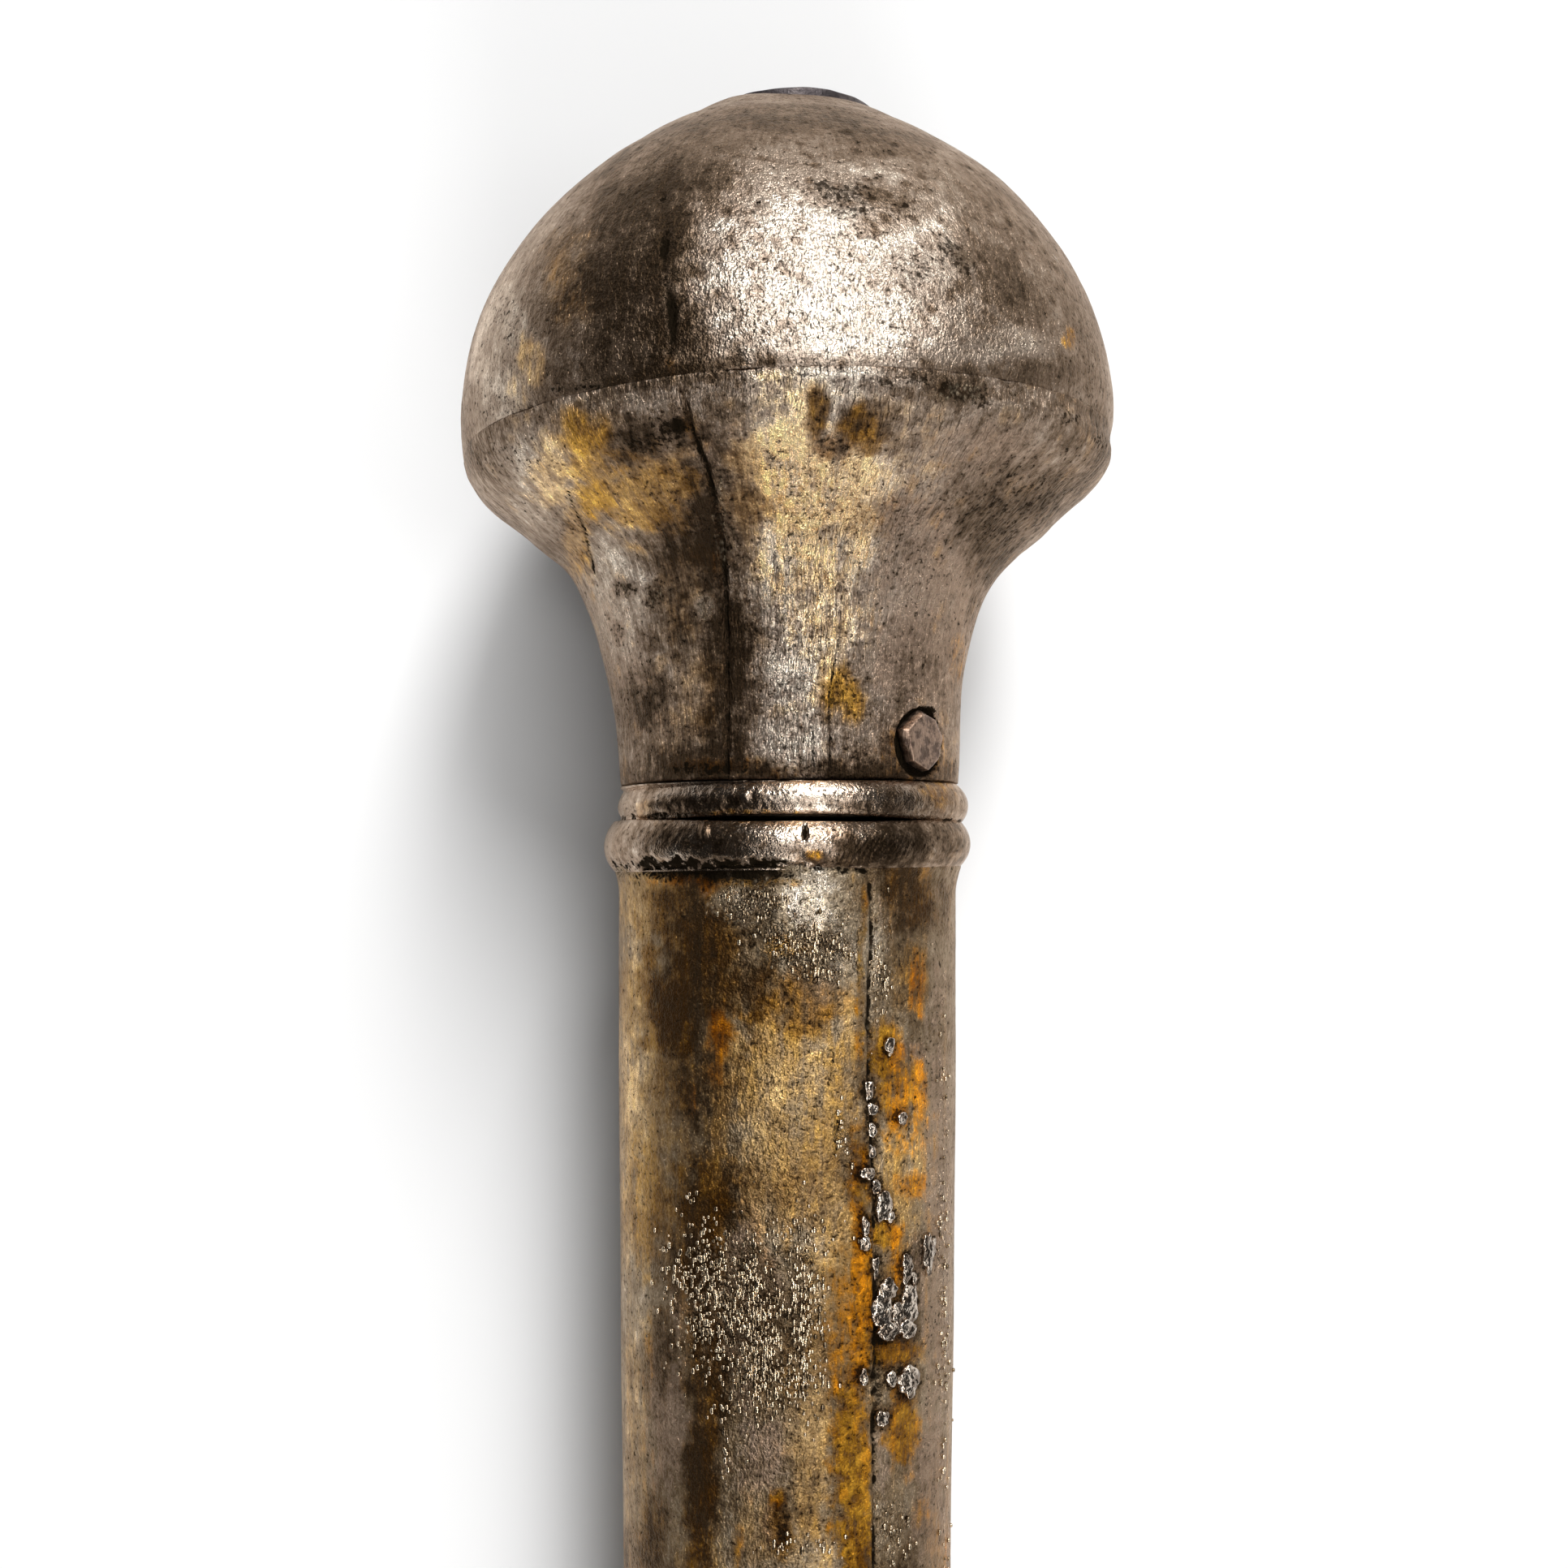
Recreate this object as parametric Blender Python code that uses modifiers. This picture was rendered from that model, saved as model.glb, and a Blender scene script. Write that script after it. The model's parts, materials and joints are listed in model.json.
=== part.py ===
"""A silver sceptre lying on its side, in metres, +Z up, its head towards +Y.

A hemispherical dome with a small plate on its crown is soldered to a flared neck. The neck ends in a ring,
which meets the collar of a long, slowly tapering shaft. A ring and a low cap close the shaft's foot.

Each piece is turned about the sceptre's own axis, which is local Z: 0 at the joint between head and shaft,
positive towards the crown. Local X is world X, and local -Y is the side that faces up.
"""

import math

import bpy
from mathutils import Matrix, Vector
from mathutils.geometry import interpolate_bezier

MM = 0.001

# Head: a half ball whose rim is the ridge, and the neck that flares out to meet it
HEAD_RADIUS = 30.0 * MM
RIDGE_HEIGHT = 34.0 * MM
RIDGE_LEAN = math.radians(2.1)
NECK_RADIUS = 15.5 * MM

# The flare's curve: angles are from the axis, and the rest are shares of its own rise and spread
FLARE_FOOT_ANGLE = math.radians(2.3)
FLARE_TURN_ANGLE = math.radians(45.0)
FLARE_RIM_ANGLE = math.radians(23.1)
FLARE_TURN_RISE = 0.745
FLARE_TURN_SPREAD = 0.535
FLARE_FOOT_HANDLE = 0.66
FLARE_TURN_HANDLE = 0.105
FLARE_RIM_HANDLE = 0.164

# Plate on the crown, let into the dome a little off its axis
CROWN_PLATE_RADIUS = 8.0 * MM
CROWN_PLATE_PROUD = 0.95 * MM
CROWN_PLATE_SUNK = 1.2 * MM
CROWN_PLATE_CHAMFER = 0.35 * MM
CROWN_PLATE_SHIFT = 1.2 * MM

# Rivet in the neck, with a hand-filed head, seen from above at the right of the axis
RIVET_HEIGHT = 6.6 * MM
RIVET_ANGLE = math.radians(47.0)
RIVET_HEAD_RADIUS = 2.55 * MM
RIVET_HEAD_SIDES = 6
RIVET_PROUD = 0.85 * MM
RIVET_CHAMFER = 0.45 * MM
RIVET_RECESS_DEPTH = 0.5 * MM
RIVET_RECESS_MARGIN = 0.45 * MM
RIVET_SHANK_RADIUS = 1.3 * MM
RIVET_SHANK_LENGTH = 4.0 * MM

# Rings at the joint between head and shaft
JOINT_GAP = 0.5 * MM
RING_WALL = 2.4 * MM
NECK_RING_HEIGHT = 3.0 * MM
NECK_RING_PROUD = 0.75 * MM
COLLAR_BEAD_HEIGHT = 4.0 * MM
COLLAR_COVE_HEIGHT = 2.3 * MM
COLLAR_PROUD = 1.4 * MM

# Shaft
SHAFT_LENGTH = 430.0 * MM
SHAFT_TOP_RADIUS = 15.6 * MM
SHAFT_FOOT_RADIUS = 10.6 * MM
SHAFT_STRAIGHT_LENGTH = 24.0 * MM
SHAFT_TAPER_POWER = 1.08

# Foot of the shaft
FOOT_RING_HEIGHT = 5.2 * MM
FOOT_RING_PROUD = 1.6 * MM
FOOT_CAP_HEIGHT = 4.6 * MM
FOOT_CAP_FLAT_RADIUS = 4.0 * MM

# Depth of the worn flats that the sceptre lies on, under the ridge and under the foot ring
REST_WEAR = 0.27 * MM

# Space left between two pieces that touch
TOUCH_GAP = 0.3 * MM

# How far a bead's outer side swells, as a share of half its height
BEAD_SWELL = 0.45

# Fineness of the turned surfaces
HEAD_SIDES = 60
SHAFT_SIDES = 48
DOME_STEPS = 12
FLARE_POINTS = 9
BEAD_STEPS = 6
COVE_POINTS = 4
TAPER_STEPS = 7
CAP_STEPS = 4
SHARP_ANGLE = math.radians(38.0)
WELD_DISTANCE = 0.01 * MM

# Heights and radii that several pieces share
HALF_JOINT = JOINT_GAP / 2
CROWN_HEIGHT = RIDGE_HEIGHT + HEAD_RADIUS
NECK_RING_RADIUS = NECK_RADIUS + NECK_RING_PROUD
NECK_RING_TOP = HALF_JOINT + NECK_RING_HEIGHT
NECK_SHOULDER = NECK_RING_TOP + TOUCH_GAP
COLLAR_RADIUS = SHAFT_TOP_RADIUS + COLLAR_PROUD
COLLAR_BEAD_BOTTOM = -HALF_JOINT - COLLAR_BEAD_HEIGHT
COLLAR_BOTTOM = COLLAR_BEAD_BOTTOM - COLLAR_COVE_HEIGHT
SHAFT_SHOULDER = COLLAR_BOTTOM - TOUCH_GAP
FOOT_RING_RADIUS = SHAFT_FOOT_RADIUS + FOOT_RING_PROUD
FOOT_RING_TOP = -SHAFT_LENGTH - TOUCH_GAP
FOOT_RING_BOTTOM = FOOT_RING_TOP - FOOT_RING_HEIGHT
FOOT_CAP_TOP = FOOT_RING_BOTTOM - TOUCH_GAP


def clear_scene():
    for obj in list(bpy.data.objects):
        bpy.data.objects.remove(obj)


def new_collection(name):
    made = bpy.data.collections.new(name)
    bpy.context.scene.collection.children.link(made)
    return made


def metal(name, colour, roughness):
    """A bare metal: the colour is its reflectance."""
    made = bpy.data.materials.new(name)
    made.use_nodes = True
    shader = made.node_tree.nodes["Principled BSDF"]
    shader.inputs["Base Color"].default_value = (*colour, 1.0)
    shader.inputs["Metallic"].default_value = 1.0
    shader.inputs["Roughness"].default_value = roughness
    made.diffuse_color = (*colour, 1.0)
    return made


def bake_modifiers(obj):
    """Gives an object the mesh that its modifiers make, with its sharp corners kept sharp in the shading."""
    bpy.context.view_layer.update()
    graph = bpy.context.evaluated_depsgraph_get()
    made = bpy.data.meshes.new_from_object(obj.evaluated_get(graph))
    made.name = obj.name
    made.shade_smooth()
    made.set_sharp_from_angle(angle=SHARP_ANGLE)
    obj.modifiers.clear()
    obj.data = made


def turned(name, profile, sides, material, collection, hollow=False):
    """A solid of revolution. Its profile of (radius, height) points runs down the outer side from the top.

    A solid's profile starts and ends on the axis. A hollow ring's profile closes back to its first point.
    """
    edges = [(i, i + 1) for i in range(len(profile) - 1)]
    if hollow:
        edges.append((len(profile) - 1, 0))
    mesh = bpy.data.meshes.new(name)
    mesh.from_pydata([(radius, 0.0, height) for radius, height in profile], edges, [])
    mesh.materials.append(material)
    obj = bpy.data.objects.new(name, mesh)
    collection.objects.link(obj)
    screw = obj.modifiers.new("Turn", "SCREW")
    screw.steps = sides
    screw.render_steps = sides
    screw.use_merge_vertices = True
    screw.merge_threshold = WELD_DISTANCE
    bake_modifiers(obj)
    return obj


def cut(obj, cutter):
    modifier = obj.modifiers.new("Cut by " + cutter.name, "BOOLEAN")
    modifier.operation = "DIFFERENCE"
    modifier.object = cutter


def as_cutter(obj):
    obj.hide_render = True
    obj.display_type = "WIRE"
    return obj


def bezier(start, start_handle, end_handle, end, count):
    """Points on a cubic Bezier curve between (radius, height) points, with both ends."""
    flat = [Vector((*point, 0.0)) for point in (start, start_handle, end_handle, end)]
    return [(point.x, point.y) for point in interpolate_bezier(*flat, count)]


def along(point, angle, length):
    """The point a length further up, at an angle outwards from the axis. A negative length goes down and in."""
    return (point[0] + length * math.sin(angle), point[1] + length * math.cos(angle))


def bead(top, bottom, crest):
    """The rounded outer side of a ring, from top to bottom: half an ellipse that reaches the crest radius."""
    middle = (top + bottom) / 2
    half = (top - bottom) / 2
    points = []
    for i in range(BEAD_STEPS + 1):
        angle = math.pi * (0.5 - i / BEAD_STEPS)
        radius = crest - BEAD_SWELL * half * (1 - math.cos(angle))
        points.append((radius, middle + half * math.sin(angle)))
    return points


def neck_outline():
    """The neck's outer side, from just under the ridge down to the shoulder that its ring meets."""
    rise = RIDGE_HEIGHT - NECK_SHOULDER
    spread = HEAD_RADIUS - NECK_RADIUS
    rim = (HEAD_RADIUS, RIDGE_HEIGHT - TOUCH_GAP / 2)
    turn = (NECK_RADIUS + FLARE_TURN_SPREAD * spread, NECK_SHOULDER + FLARE_TURN_RISE * rise)
    foot = (NECK_RADIUS, NECK_SHOULDER)
    upper = bezier(
        rim,
        along(rim, FLARE_RIM_ANGLE, -FLARE_RIM_HANDLE * rise),
        along(turn, FLARE_TURN_ANGLE, FLARE_RIM_HANDLE * rise),
        turn,
        FLARE_POINTS,
    )
    lower = bezier(
        turn,
        along(turn, FLARE_TURN_ANGLE, -FLARE_TURN_HANDLE * rise),
        along(foot, FLARE_FOOT_ANGLE, FLARE_FOOT_HANDLE * rise),
        foot,
        FLARE_POINTS,
    )
    return upper + lower[1:]


def neck_radius_at(height):
    outline = neck_outline()
    for (upper_radius, upper), (lower_radius, lower) in zip(outline, outline[1:]):
        if lower <= height <= upper:
            share = (height - lower) / (upper - lower)
            return lower_radius + (upper_radius - lower_radius) * share
    return NECK_RADIUS


def lean_lift(x, height):
    """How far the head's skew lifts a point: not at all at the neck's foot, and fully from the ridge up."""
    share = min(max(height / RIDGE_HEIGHT, 0.0), 1.0)
    return x * math.tan(RIDGE_LEAN) * share * share * (3 - 2 * share)


def lean(obj):
    for vertex in obj.data.vertices:
        vertex.co.z += lean_lift(vertex.co.x, vertex.co.z)


def make_dome(silver, parts):
    rim_height = RIDGE_HEIGHT + TOUCH_GAP / 2
    profile = []
    for i in range(DOME_STEPS):
        angle = math.pi / 2 * i / DOME_STEPS
        profile.append((HEAD_RADIUS * math.sin(angle), RIDGE_HEIGHT + HEAD_RADIUS * math.cos(angle)))
    profile += [(HEAD_RADIUS, rim_height), (0.0, rim_height)]
    dome = turned("head_dome", profile, HEAD_SIDES, silver, parts)
    lean(dome)
    return dome


def make_crown_plate(dark, parts, cutters):
    """The plate, and the cutter of the shallow seat that it lies in. Height 0 is the dome's crown."""
    underside = TOUCH_GAP - CROWN_PLATE_SUNK
    plate = turned(
        "crown_plate",
        [
            (0.0, CROWN_PLATE_PROUD),
            (CROWN_PLATE_RADIUS - CROWN_PLATE_CHAMFER, CROWN_PLATE_PROUD),
            (CROWN_PLATE_RADIUS, CROWN_PLATE_PROUD - CROWN_PLATE_CHAMFER),
            (CROWN_PLATE_RADIUS, underside),
            (0.0, underside),
        ],
        SHAFT_SIDES,
        dark,
        parts,
    )
    seat_radius = CROWN_PLATE_RADIUS + TOUCH_GAP
    seat_top = CROWN_PLATE_SUNK + CROWN_PLATE_PROUD
    seat = turned(
        "crown_seat_cutter",
        [(0.0, seat_top), (seat_radius, seat_top), (seat_radius, -CROWN_PLATE_SUNK), (0.0, -CROWN_PLATE_SUNK)],
        SHAFT_SIDES,
        dark,
        cutters,
    )
    for obj in (plate, as_cutter(seat)):
        obj.location = (CROWN_PLATE_SHIFT, 0.0, CROWN_HEIGHT + lean_lift(CROWN_PLATE_SHIFT, CROWN_HEIGHT))
        obj.rotation_euler.y = -RIDGE_LEAN
    return plate, seat


def make_neck(silver, parts):
    spigot = NECK_RING_RADIUS - RING_WALL
    outline = neck_outline()
    profile = [(0.0, outline[0][1])] + outline
    profile += [(spigot, NECK_SHOULDER), (spigot, HALF_JOINT), (0.0, HALF_JOINT)]
    neck = turned("head_neck", profile, HEAD_SIDES, silver, parts)
    lean(neck)
    return neck


def make_rivet(copper, parts, cutters):
    """The rivet, and the cutter of its hole and of the recess round its head. Height 0 is the neck's surface."""
    under_head = TOUCH_GAP - RIVET_RECESS_DEPTH
    tip = under_head - RIVET_SHANK_LENGTH
    rivet = turned(
        "neck_rivet",
        [
            (0.0, RIVET_PROUD),
            (RIVET_HEAD_RADIUS - RIVET_CHAMFER, RIVET_PROUD),
            (RIVET_HEAD_RADIUS, RIVET_PROUD - RIVET_CHAMFER),
            (RIVET_HEAD_RADIUS, under_head),
            (RIVET_SHANK_RADIUS, under_head),
            (RIVET_SHANK_RADIUS, tip),
            (0.0, tip),
        ],
        RIVET_HEAD_SIDES,
        copper,
        parts,
    )
    recess_radius = RIVET_HEAD_RADIUS + RIVET_RECESS_MARGIN
    hole_radius = RIVET_SHANK_RADIUS + TOUCH_GAP
    clear_top = RIVET_PROUD + RIVET_HEAD_RADIUS
    hole = turned(
        "rivet_hole_cutter",
        [
            (0.0, clear_top),
            (recess_radius, clear_top),
            (recess_radius, -RIVET_RECESS_DEPTH),
            (hole_radius, -RIVET_RECESS_DEPTH),
            (hole_radius, tip - TOUCH_GAP),
            (0.0, tip - TOUCH_GAP),
        ],
        4 * RIVET_HEAD_SIDES,
        copper,
        cutters,
    )
    outward = Vector((math.sin(RIVET_ANGLE), -math.cos(RIVET_ANGLE), 0.0))
    seat = outward * neck_radius_at(RIVET_HEIGHT) + Vector((0.0, 0.0, RIVET_HEIGHT))
    turn = outward.to_track_quat("Z", "Y").to_matrix().to_4x4()
    for obj in (rivet, as_cutter(hole)):
        obj.matrix_basis = Matrix.Translation(seat) @ turn
    return rivet, hole


def make_ring(name, top, bottom, crest, silver, parts):
    """A ring of the shared wall, with a rounded outer side."""
    bore = crest - RING_WALL + TOUCH_GAP
    profile = bead(top, bottom, crest) + [(bore, bottom), (bore, top)]
    return turned(name, profile, SHAFT_SIDES, silver, parts, hollow=True)


def make_collar(silver, parts):
    """The shaft's collar: a bold bead, and under it a cove that runs out onto the shaft."""
    bore = COLLAR_RADIUS - RING_WALL + TOUCH_GAP
    outer = bead(-HALF_JOINT, COLLAR_BEAD_BOTTOM, COLLAR_RADIUS)
    bend = (SHAFT_TOP_RADIUS, COLLAR_BEAD_BOTTOM - COLLAR_COVE_HEIGHT / 3)
    cove = bezier(outer[-1], bend, bend, (SHAFT_TOP_RADIUS, COLLAR_BOTTOM), COVE_POINTS)
    profile = outer + cove[1:] + [(bore, COLLAR_BOTTOM), (bore, -HALF_JOINT)]
    return turned("shaft_collar", profile, SHAFT_SIDES, silver, parts, hollow=True)


def shaft_radius(below):
    """The shaft's radius at a distance below the joint, once the straight stretch is over: a slow taper."""
    share = (below - SHAFT_STRAIGHT_LENGTH) / (SHAFT_LENGTH - SHAFT_STRAIGHT_LENGTH)
    return SHAFT_TOP_RADIUS - (SHAFT_TOP_RADIUS - SHAFT_FOOT_RADIUS) * share**SHAFT_TAPER_POWER


def make_shaft(gilt, parts):
    """The shaft, with a narrower end inside the collar and another inside the foot ring."""
    top_end = COLLAR_RADIUS - RING_WALL
    foot_end = FOOT_RING_RADIUS - RING_WALL
    profile = [(0.0, -HALF_JOINT), (top_end, -HALF_JOINT), (top_end, SHAFT_SHOULDER)]
    profile.append((SHAFT_TOP_RADIUS, SHAFT_SHOULDER))
    for i in range(TAPER_STEPS + 1):
        below = SHAFT_STRAIGHT_LENGTH + (SHAFT_LENGTH - SHAFT_STRAIGHT_LENGTH) * i / TAPER_STEPS
        profile.append((shaft_radius(below), -below))
    profile += [(foot_end, -SHAFT_LENGTH), (foot_end, FOOT_RING_BOTTOM), (0.0, FOOT_RING_BOTTOM)]
    return turned("shaft", profile, SHAFT_SIDES, gilt, parts)


def make_foot_cap(silver, parts):
    """The low cap under the foot ring, with a flat in its middle."""
    spread = SHAFT_FOOT_RADIUS - FOOT_CAP_FLAT_RADIUS
    profile = [(0.0, FOOT_CAP_TOP)]
    for i in range(CAP_STEPS + 1):
        angle = math.pi / 2 * i / CAP_STEPS
        radius = FOOT_CAP_FLAT_RADIUS + spread * math.cos(angle)
        profile.append((radius, FOOT_CAP_TOP - FOOT_CAP_HEIGHT * math.sin(angle)))
    profile.append((0.0, FOOT_CAP_TOP - FOOT_CAP_HEIGHT))
    return turned("foot_cap", profile, SHAFT_SIDES, silver, parts)


def lay_down(objects):
    """Parents the objects to their axis, tilted so that the ridge and the foot ring both reach the floor."""
    foot_height = (FOOT_RING_TOP + FOOT_RING_BOTTOM) / 2
    tilt = math.asin((HEAD_RADIUS - FOOT_RING_RADIUS) / (RIDGE_HEIGHT - foot_height))
    axis = bpy.data.objects.new("sceptre_axis", None)
    bpy.context.scene.collection.objects.link(axis)
    axis.rotation_euler.x = tilt - math.pi / 2
    axis.location.z = HEAD_RADIUS - REST_WEAR - RIDGE_HEIGHT * math.sin(tilt)
    for obj in objects:
        obj.parent = axis
    return axis


def make_floor_cutter(cutters):
    """A slab with its top at the floor. It takes off what reaches below."""
    size = 2 * (SHAFT_LENGTH + CROWN_HEIGHT)
    bpy.ops.mesh.primitive_cube_add(size=1.0, location=(0.0, 0.0, -HEAD_RADIUS / 2))
    slab = bpy.context.object
    slab.name = "floor_cutter"
    slab.scale = (size, size, HEAD_RADIUS)
    for collection in slab.users_collection:
        collection.objects.unlink(slab)
    cutters.objects.link(slab)
    return as_cutter(slab)


def centre_over_origin(axis, pieces):
    """Moves the axis so that the middle of the sceptre's length and width is over the origin."""
    bpy.context.view_layer.update()
    graph = bpy.context.evaluated_depsgraph_get()
    points = []
    for piece in pieces:
        seen = piece.evaluated_get(graph)
        points += [seen.matrix_world @ vertex.co for vertex in seen.data.vertices]
    for i in (0, 1):
        values = [point[i] for point in points]
        axis.location[i] -= (min(values) + max(values)) / 2


def main():
    clear_scene()
    parts = new_collection("sceptre")
    cutters = new_collection("cutters")
    silver = metal("worn_silver", (0.42, 0.365, 0.305), 0.38)
    gilt = metal("worn_gilding", (0.46, 0.36, 0.19), 0.42)
    dark = metal("blackened_metal", (0.12, 0.105, 0.10), 0.5)
    copper = metal("copper_alloy", (0.40, 0.29, 0.21), 0.42)

    dome = make_dome(silver, parts)
    plate, seat_cutter = make_crown_plate(dark, parts, cutters)
    neck = make_neck(silver, parts)
    rivet, hole_cutter = make_rivet(copper, parts, cutters)
    neck_ring = make_ring("neck_ring", NECK_RING_TOP, HALF_JOINT, NECK_RING_RADIUS, silver, parts)
    collar = make_collar(silver, parts)
    shaft = make_shaft(gilt, parts)
    foot_ring = make_ring("foot_ring", FOOT_RING_TOP, FOOT_RING_BOTTOM, FOOT_RING_RADIUS, silver, parts)
    foot_cap = make_foot_cap(silver, parts)

    pieces = [dome, plate, neck, rivet, neck_ring, collar, shaft, foot_ring, foot_cap]
    axis = lay_down(pieces + [seat_cutter, hole_cutter])
    cut(dome, seat_cutter)
    cut(neck, hole_cutter)
    floor_cutter = make_floor_cutter(cutters)
    for piece in (dome, neck, foot_ring):
        cut(piece, floor_cutter)
    centre_over_origin(axis, pieces)


main()
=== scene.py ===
"""The finish of a worn silver sceptre, which lies on its side on a pale floor in soft light.

Lengths are millimetres in the sceptre's own frame: x to the right, h along the axis from the joint between
head and shaft towards the crown, and u up from the axis. Every piece is turned about the axis, then given
the dents, seams, pits, solder and stains that belong to its surface. Places of marks are pixels of the
photograph, x to the right and y down in its 1932 x 1932 frame, laid onto the surface by the same camera
that takes the view.
"""

import json
import math

import bmesh
import bpy
import numpy as np
from mathutils import Matrix, Vector, noise


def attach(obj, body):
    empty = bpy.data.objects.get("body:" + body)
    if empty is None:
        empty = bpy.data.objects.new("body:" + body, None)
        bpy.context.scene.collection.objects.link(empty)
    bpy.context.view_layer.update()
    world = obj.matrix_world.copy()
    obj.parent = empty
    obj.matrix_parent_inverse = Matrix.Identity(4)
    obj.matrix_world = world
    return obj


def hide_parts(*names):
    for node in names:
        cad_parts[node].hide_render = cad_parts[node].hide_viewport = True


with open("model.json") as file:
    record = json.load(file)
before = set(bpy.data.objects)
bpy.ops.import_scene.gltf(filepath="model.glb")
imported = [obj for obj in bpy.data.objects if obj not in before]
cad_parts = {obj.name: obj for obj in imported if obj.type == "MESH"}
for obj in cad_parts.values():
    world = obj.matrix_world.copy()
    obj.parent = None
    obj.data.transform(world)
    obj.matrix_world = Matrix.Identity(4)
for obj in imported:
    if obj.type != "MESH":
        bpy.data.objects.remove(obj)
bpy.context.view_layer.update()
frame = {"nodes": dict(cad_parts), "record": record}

MM = 0.001
SEED = 11
SEED_STEP = 17.3

# Camera: the photograph's side, its focal length and the place straight under the camera, in pixels, then
# where the camera is in the sceptre's own frame
PHOTO_SIDE = 1932
FOCAL_LENGTH = 2182
UNDER_CAMERA = (970, 1065)
CAMERA_HEIGHT = 165.0
CAMERA_H = -4.0
SENSOR_WIDTH = 36.0

# Where marks are put on surfaces that don't show, and how fast they fade where a surface turns away
FAR_AWAY = -1.0e5
LIMB_FADE = 0.18

# The search for the surface at a place in the photograph: its first u, and its number of steps
SEARCH_START = 16.0
SEARCH_STEPS = 30

# Fineness: how far columns crowd on the upper side, and numbers of rows and columns
UPPER_CROWDING = 0.4
HEAD_COLUMNS = 440
DOME_ROWS = 172
NECK_ROWS = 138
PLATE_COLUMNS = 160
PLATE_ROWS = 26
RIVET_COLUMNS = 112
RING_COLUMNS = 600
RING_ROWS = 34
COLLAR_ROWS = 40
SHAFT_COLUMNS = 292
SHOWN_ROWS = 212
HIDDEN_ROWS = 115
FOOT_COLUMNS = 300
FOOT_ROWS = 30
LUMP_FINENESS = 4
BEAD_FINENESS = 2

# Numbers of small hollows
DOME_HOLLOWS = 260
NECK_HOLLOWS = 180

# Forms: how far the ridge's corner is rounded off on each side of it, on top and more on the flanks, the rim
# inside it, how far the crown plate sits to the left of its middle in the CAD, how its edge is rounded, how
# far the rings' bores and the spigots in them lie inside the crest, the cove's height, the flat in the middle
# of the foot cap, and the h at the photograph's lower edge
RIDGE_REACH = 1.1
RIDGE_SPREAD = 3.0
RIM_STEP = 0.6
PLATE_SHIFT = 0.9
PLATE_ROUNDING = 0.2
BORE_DEPTH = 2.1
SPIGOT_DEPTH = 2.4
COVE_HEIGHT = 4.0
CAP_FLAT = 4.0
PHOTO_END = -74.0

# Colours, as linear reflectances. Gold and rust are glazes, which multiply the colour under them
SILVER_CLEAN = (0.40, 0.318, 0.25)
SILVER_WORN = (0.17, 0.117, 0.078)
GILT_CLEAN = (0.33, 0.262, 0.18)
GILT_WORN = (0.165, 0.112, 0.062)
PATINA_DARK = (0.040, 0.025, 0.014)
SMOKE_DARK = (0.041, 0.023, 0.010)
# The top layer: rubbed metal, and also the colour of the painted highlights
BARE_AND_HIGHLIGHT = (0.88, 0.775, 0.645)
MAUVE = (0.33, 0.230, 0.162)
MAUVE_WORN = (0.15, 0.102, 0.072)
GOLD_PALE = (1.24, 1.03, 0.68)
GOLD_DEEP = (1.45, 0.98, 0.22)
RUST_LIGHT = (1.32, 0.84, 0.12)
RUST_DARK = (0.85, 0.48, 0.07)
GRIME = (0.010, 0.007, 0.004)
SOLDER_CLEAN = (0.62, 0.53, 0.44)
SOLDER_DULL = (0.21, 0.16, 0.12)
BEAD_CLEAN = (0.70, 0.565, 0.40)
BEAD_DULL = (0.15, 0.105, 0.06)
CREVICE = (0.050, 0.031, 0.018)
EDGE_TINT = (1.0, 0.87, 0.76)
PLATE_DARK = (0.075, 0.064, 0.066)
PLATE_GREY = (0.17, 0.145, 0.14)
PLATE_PITTED = (0.03, 0.025, 0.025)
COPPER_DULL = (0.15, 0.10, 0.075)
COPPER_CLEAN = (0.40, 0.275, 0.20)
FLOOR_COLOUR = (0.85, 0.85, 0.85)
ROOM_COLOUR = (1.0, 0.98, 0.96)

# Old metals, as (clean, worn, patina, roughness, bump in metres, wrinkles, contrast of the mottling, stretch)
OLD_METALS = {
    "aged_silver": (SILVER_CLEAN, SILVER_WORN, PATINA_DARK, 0.34, 0.00014, 0.8, 1.05, 0.25),
    "hammered_silver": (SILVER_CLEAN, SILVER_WORN, PATINA_DARK, 0.35, 0.00011, 0.45, 0.8, 0.5),
    "handled_silver": (SILVER_CLEAN, SILVER_WORN, PATINA_DARK, 0.25, 0.00005, 0.2, 1.0, 0.5),
    "worn_gilding": (GILT_CLEAN, GILT_WORN, SMOKE_DARK, 0.34, 0.00016, 0.3, 0.85, 0.5),
}

# Limits of an old metal's layers on its mottled tone: patina to dull metal, that to clean, and that to
# rubbed metal and painted highlight
LAYER_LIMITS = ((0.36, 0.49), (0.45, 0.60), (0.57, 0.72))

# Solders, as (clean, dull, roughness, bump in metres)
SOLDERS = {
    "solder_metal": (SOLDER_CLEAN, SOLDER_DULL, 0.22, 0.00014),
    "bead_metal": (BEAD_CLEAN, BEAD_DULL, 0.23, 0.00005),
}

# Stage: the floor's half side and drop in metres, the strength of the light from all round, the h that the
# lights face, their distance in metres, and each as (direction, (width, length) in metres, power in watts)
FLOOR_REACH = 12.0
FLOOR_DROP = 0.00005
ROOM_LIGHT = 0.03
LIT_H = 20.0
LIGHT_DISTANCE = 2.5
LIGHTS = {
    "key": ((0.22, 0.62, 0.73), (0.6, 1.2), 50.0),
    "low_key": ((0.20, 0.76, 0.62), (0.8, 1.2), 13.5),
    "overhead": ((0.27, -0.10, 0.96), (0.5, 2.4), 19.0),
    "foot_side": ((0.20, -0.85, 0.48), (0.9, 1.3), 24.0),
    "foot_high": ((0.20, -0.55, 0.80), (1.0, 1.0), 6.5),
    "right_side": ((0.45, 0.15, 0.87), (1.6, 1.6), 2.5),
}

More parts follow.
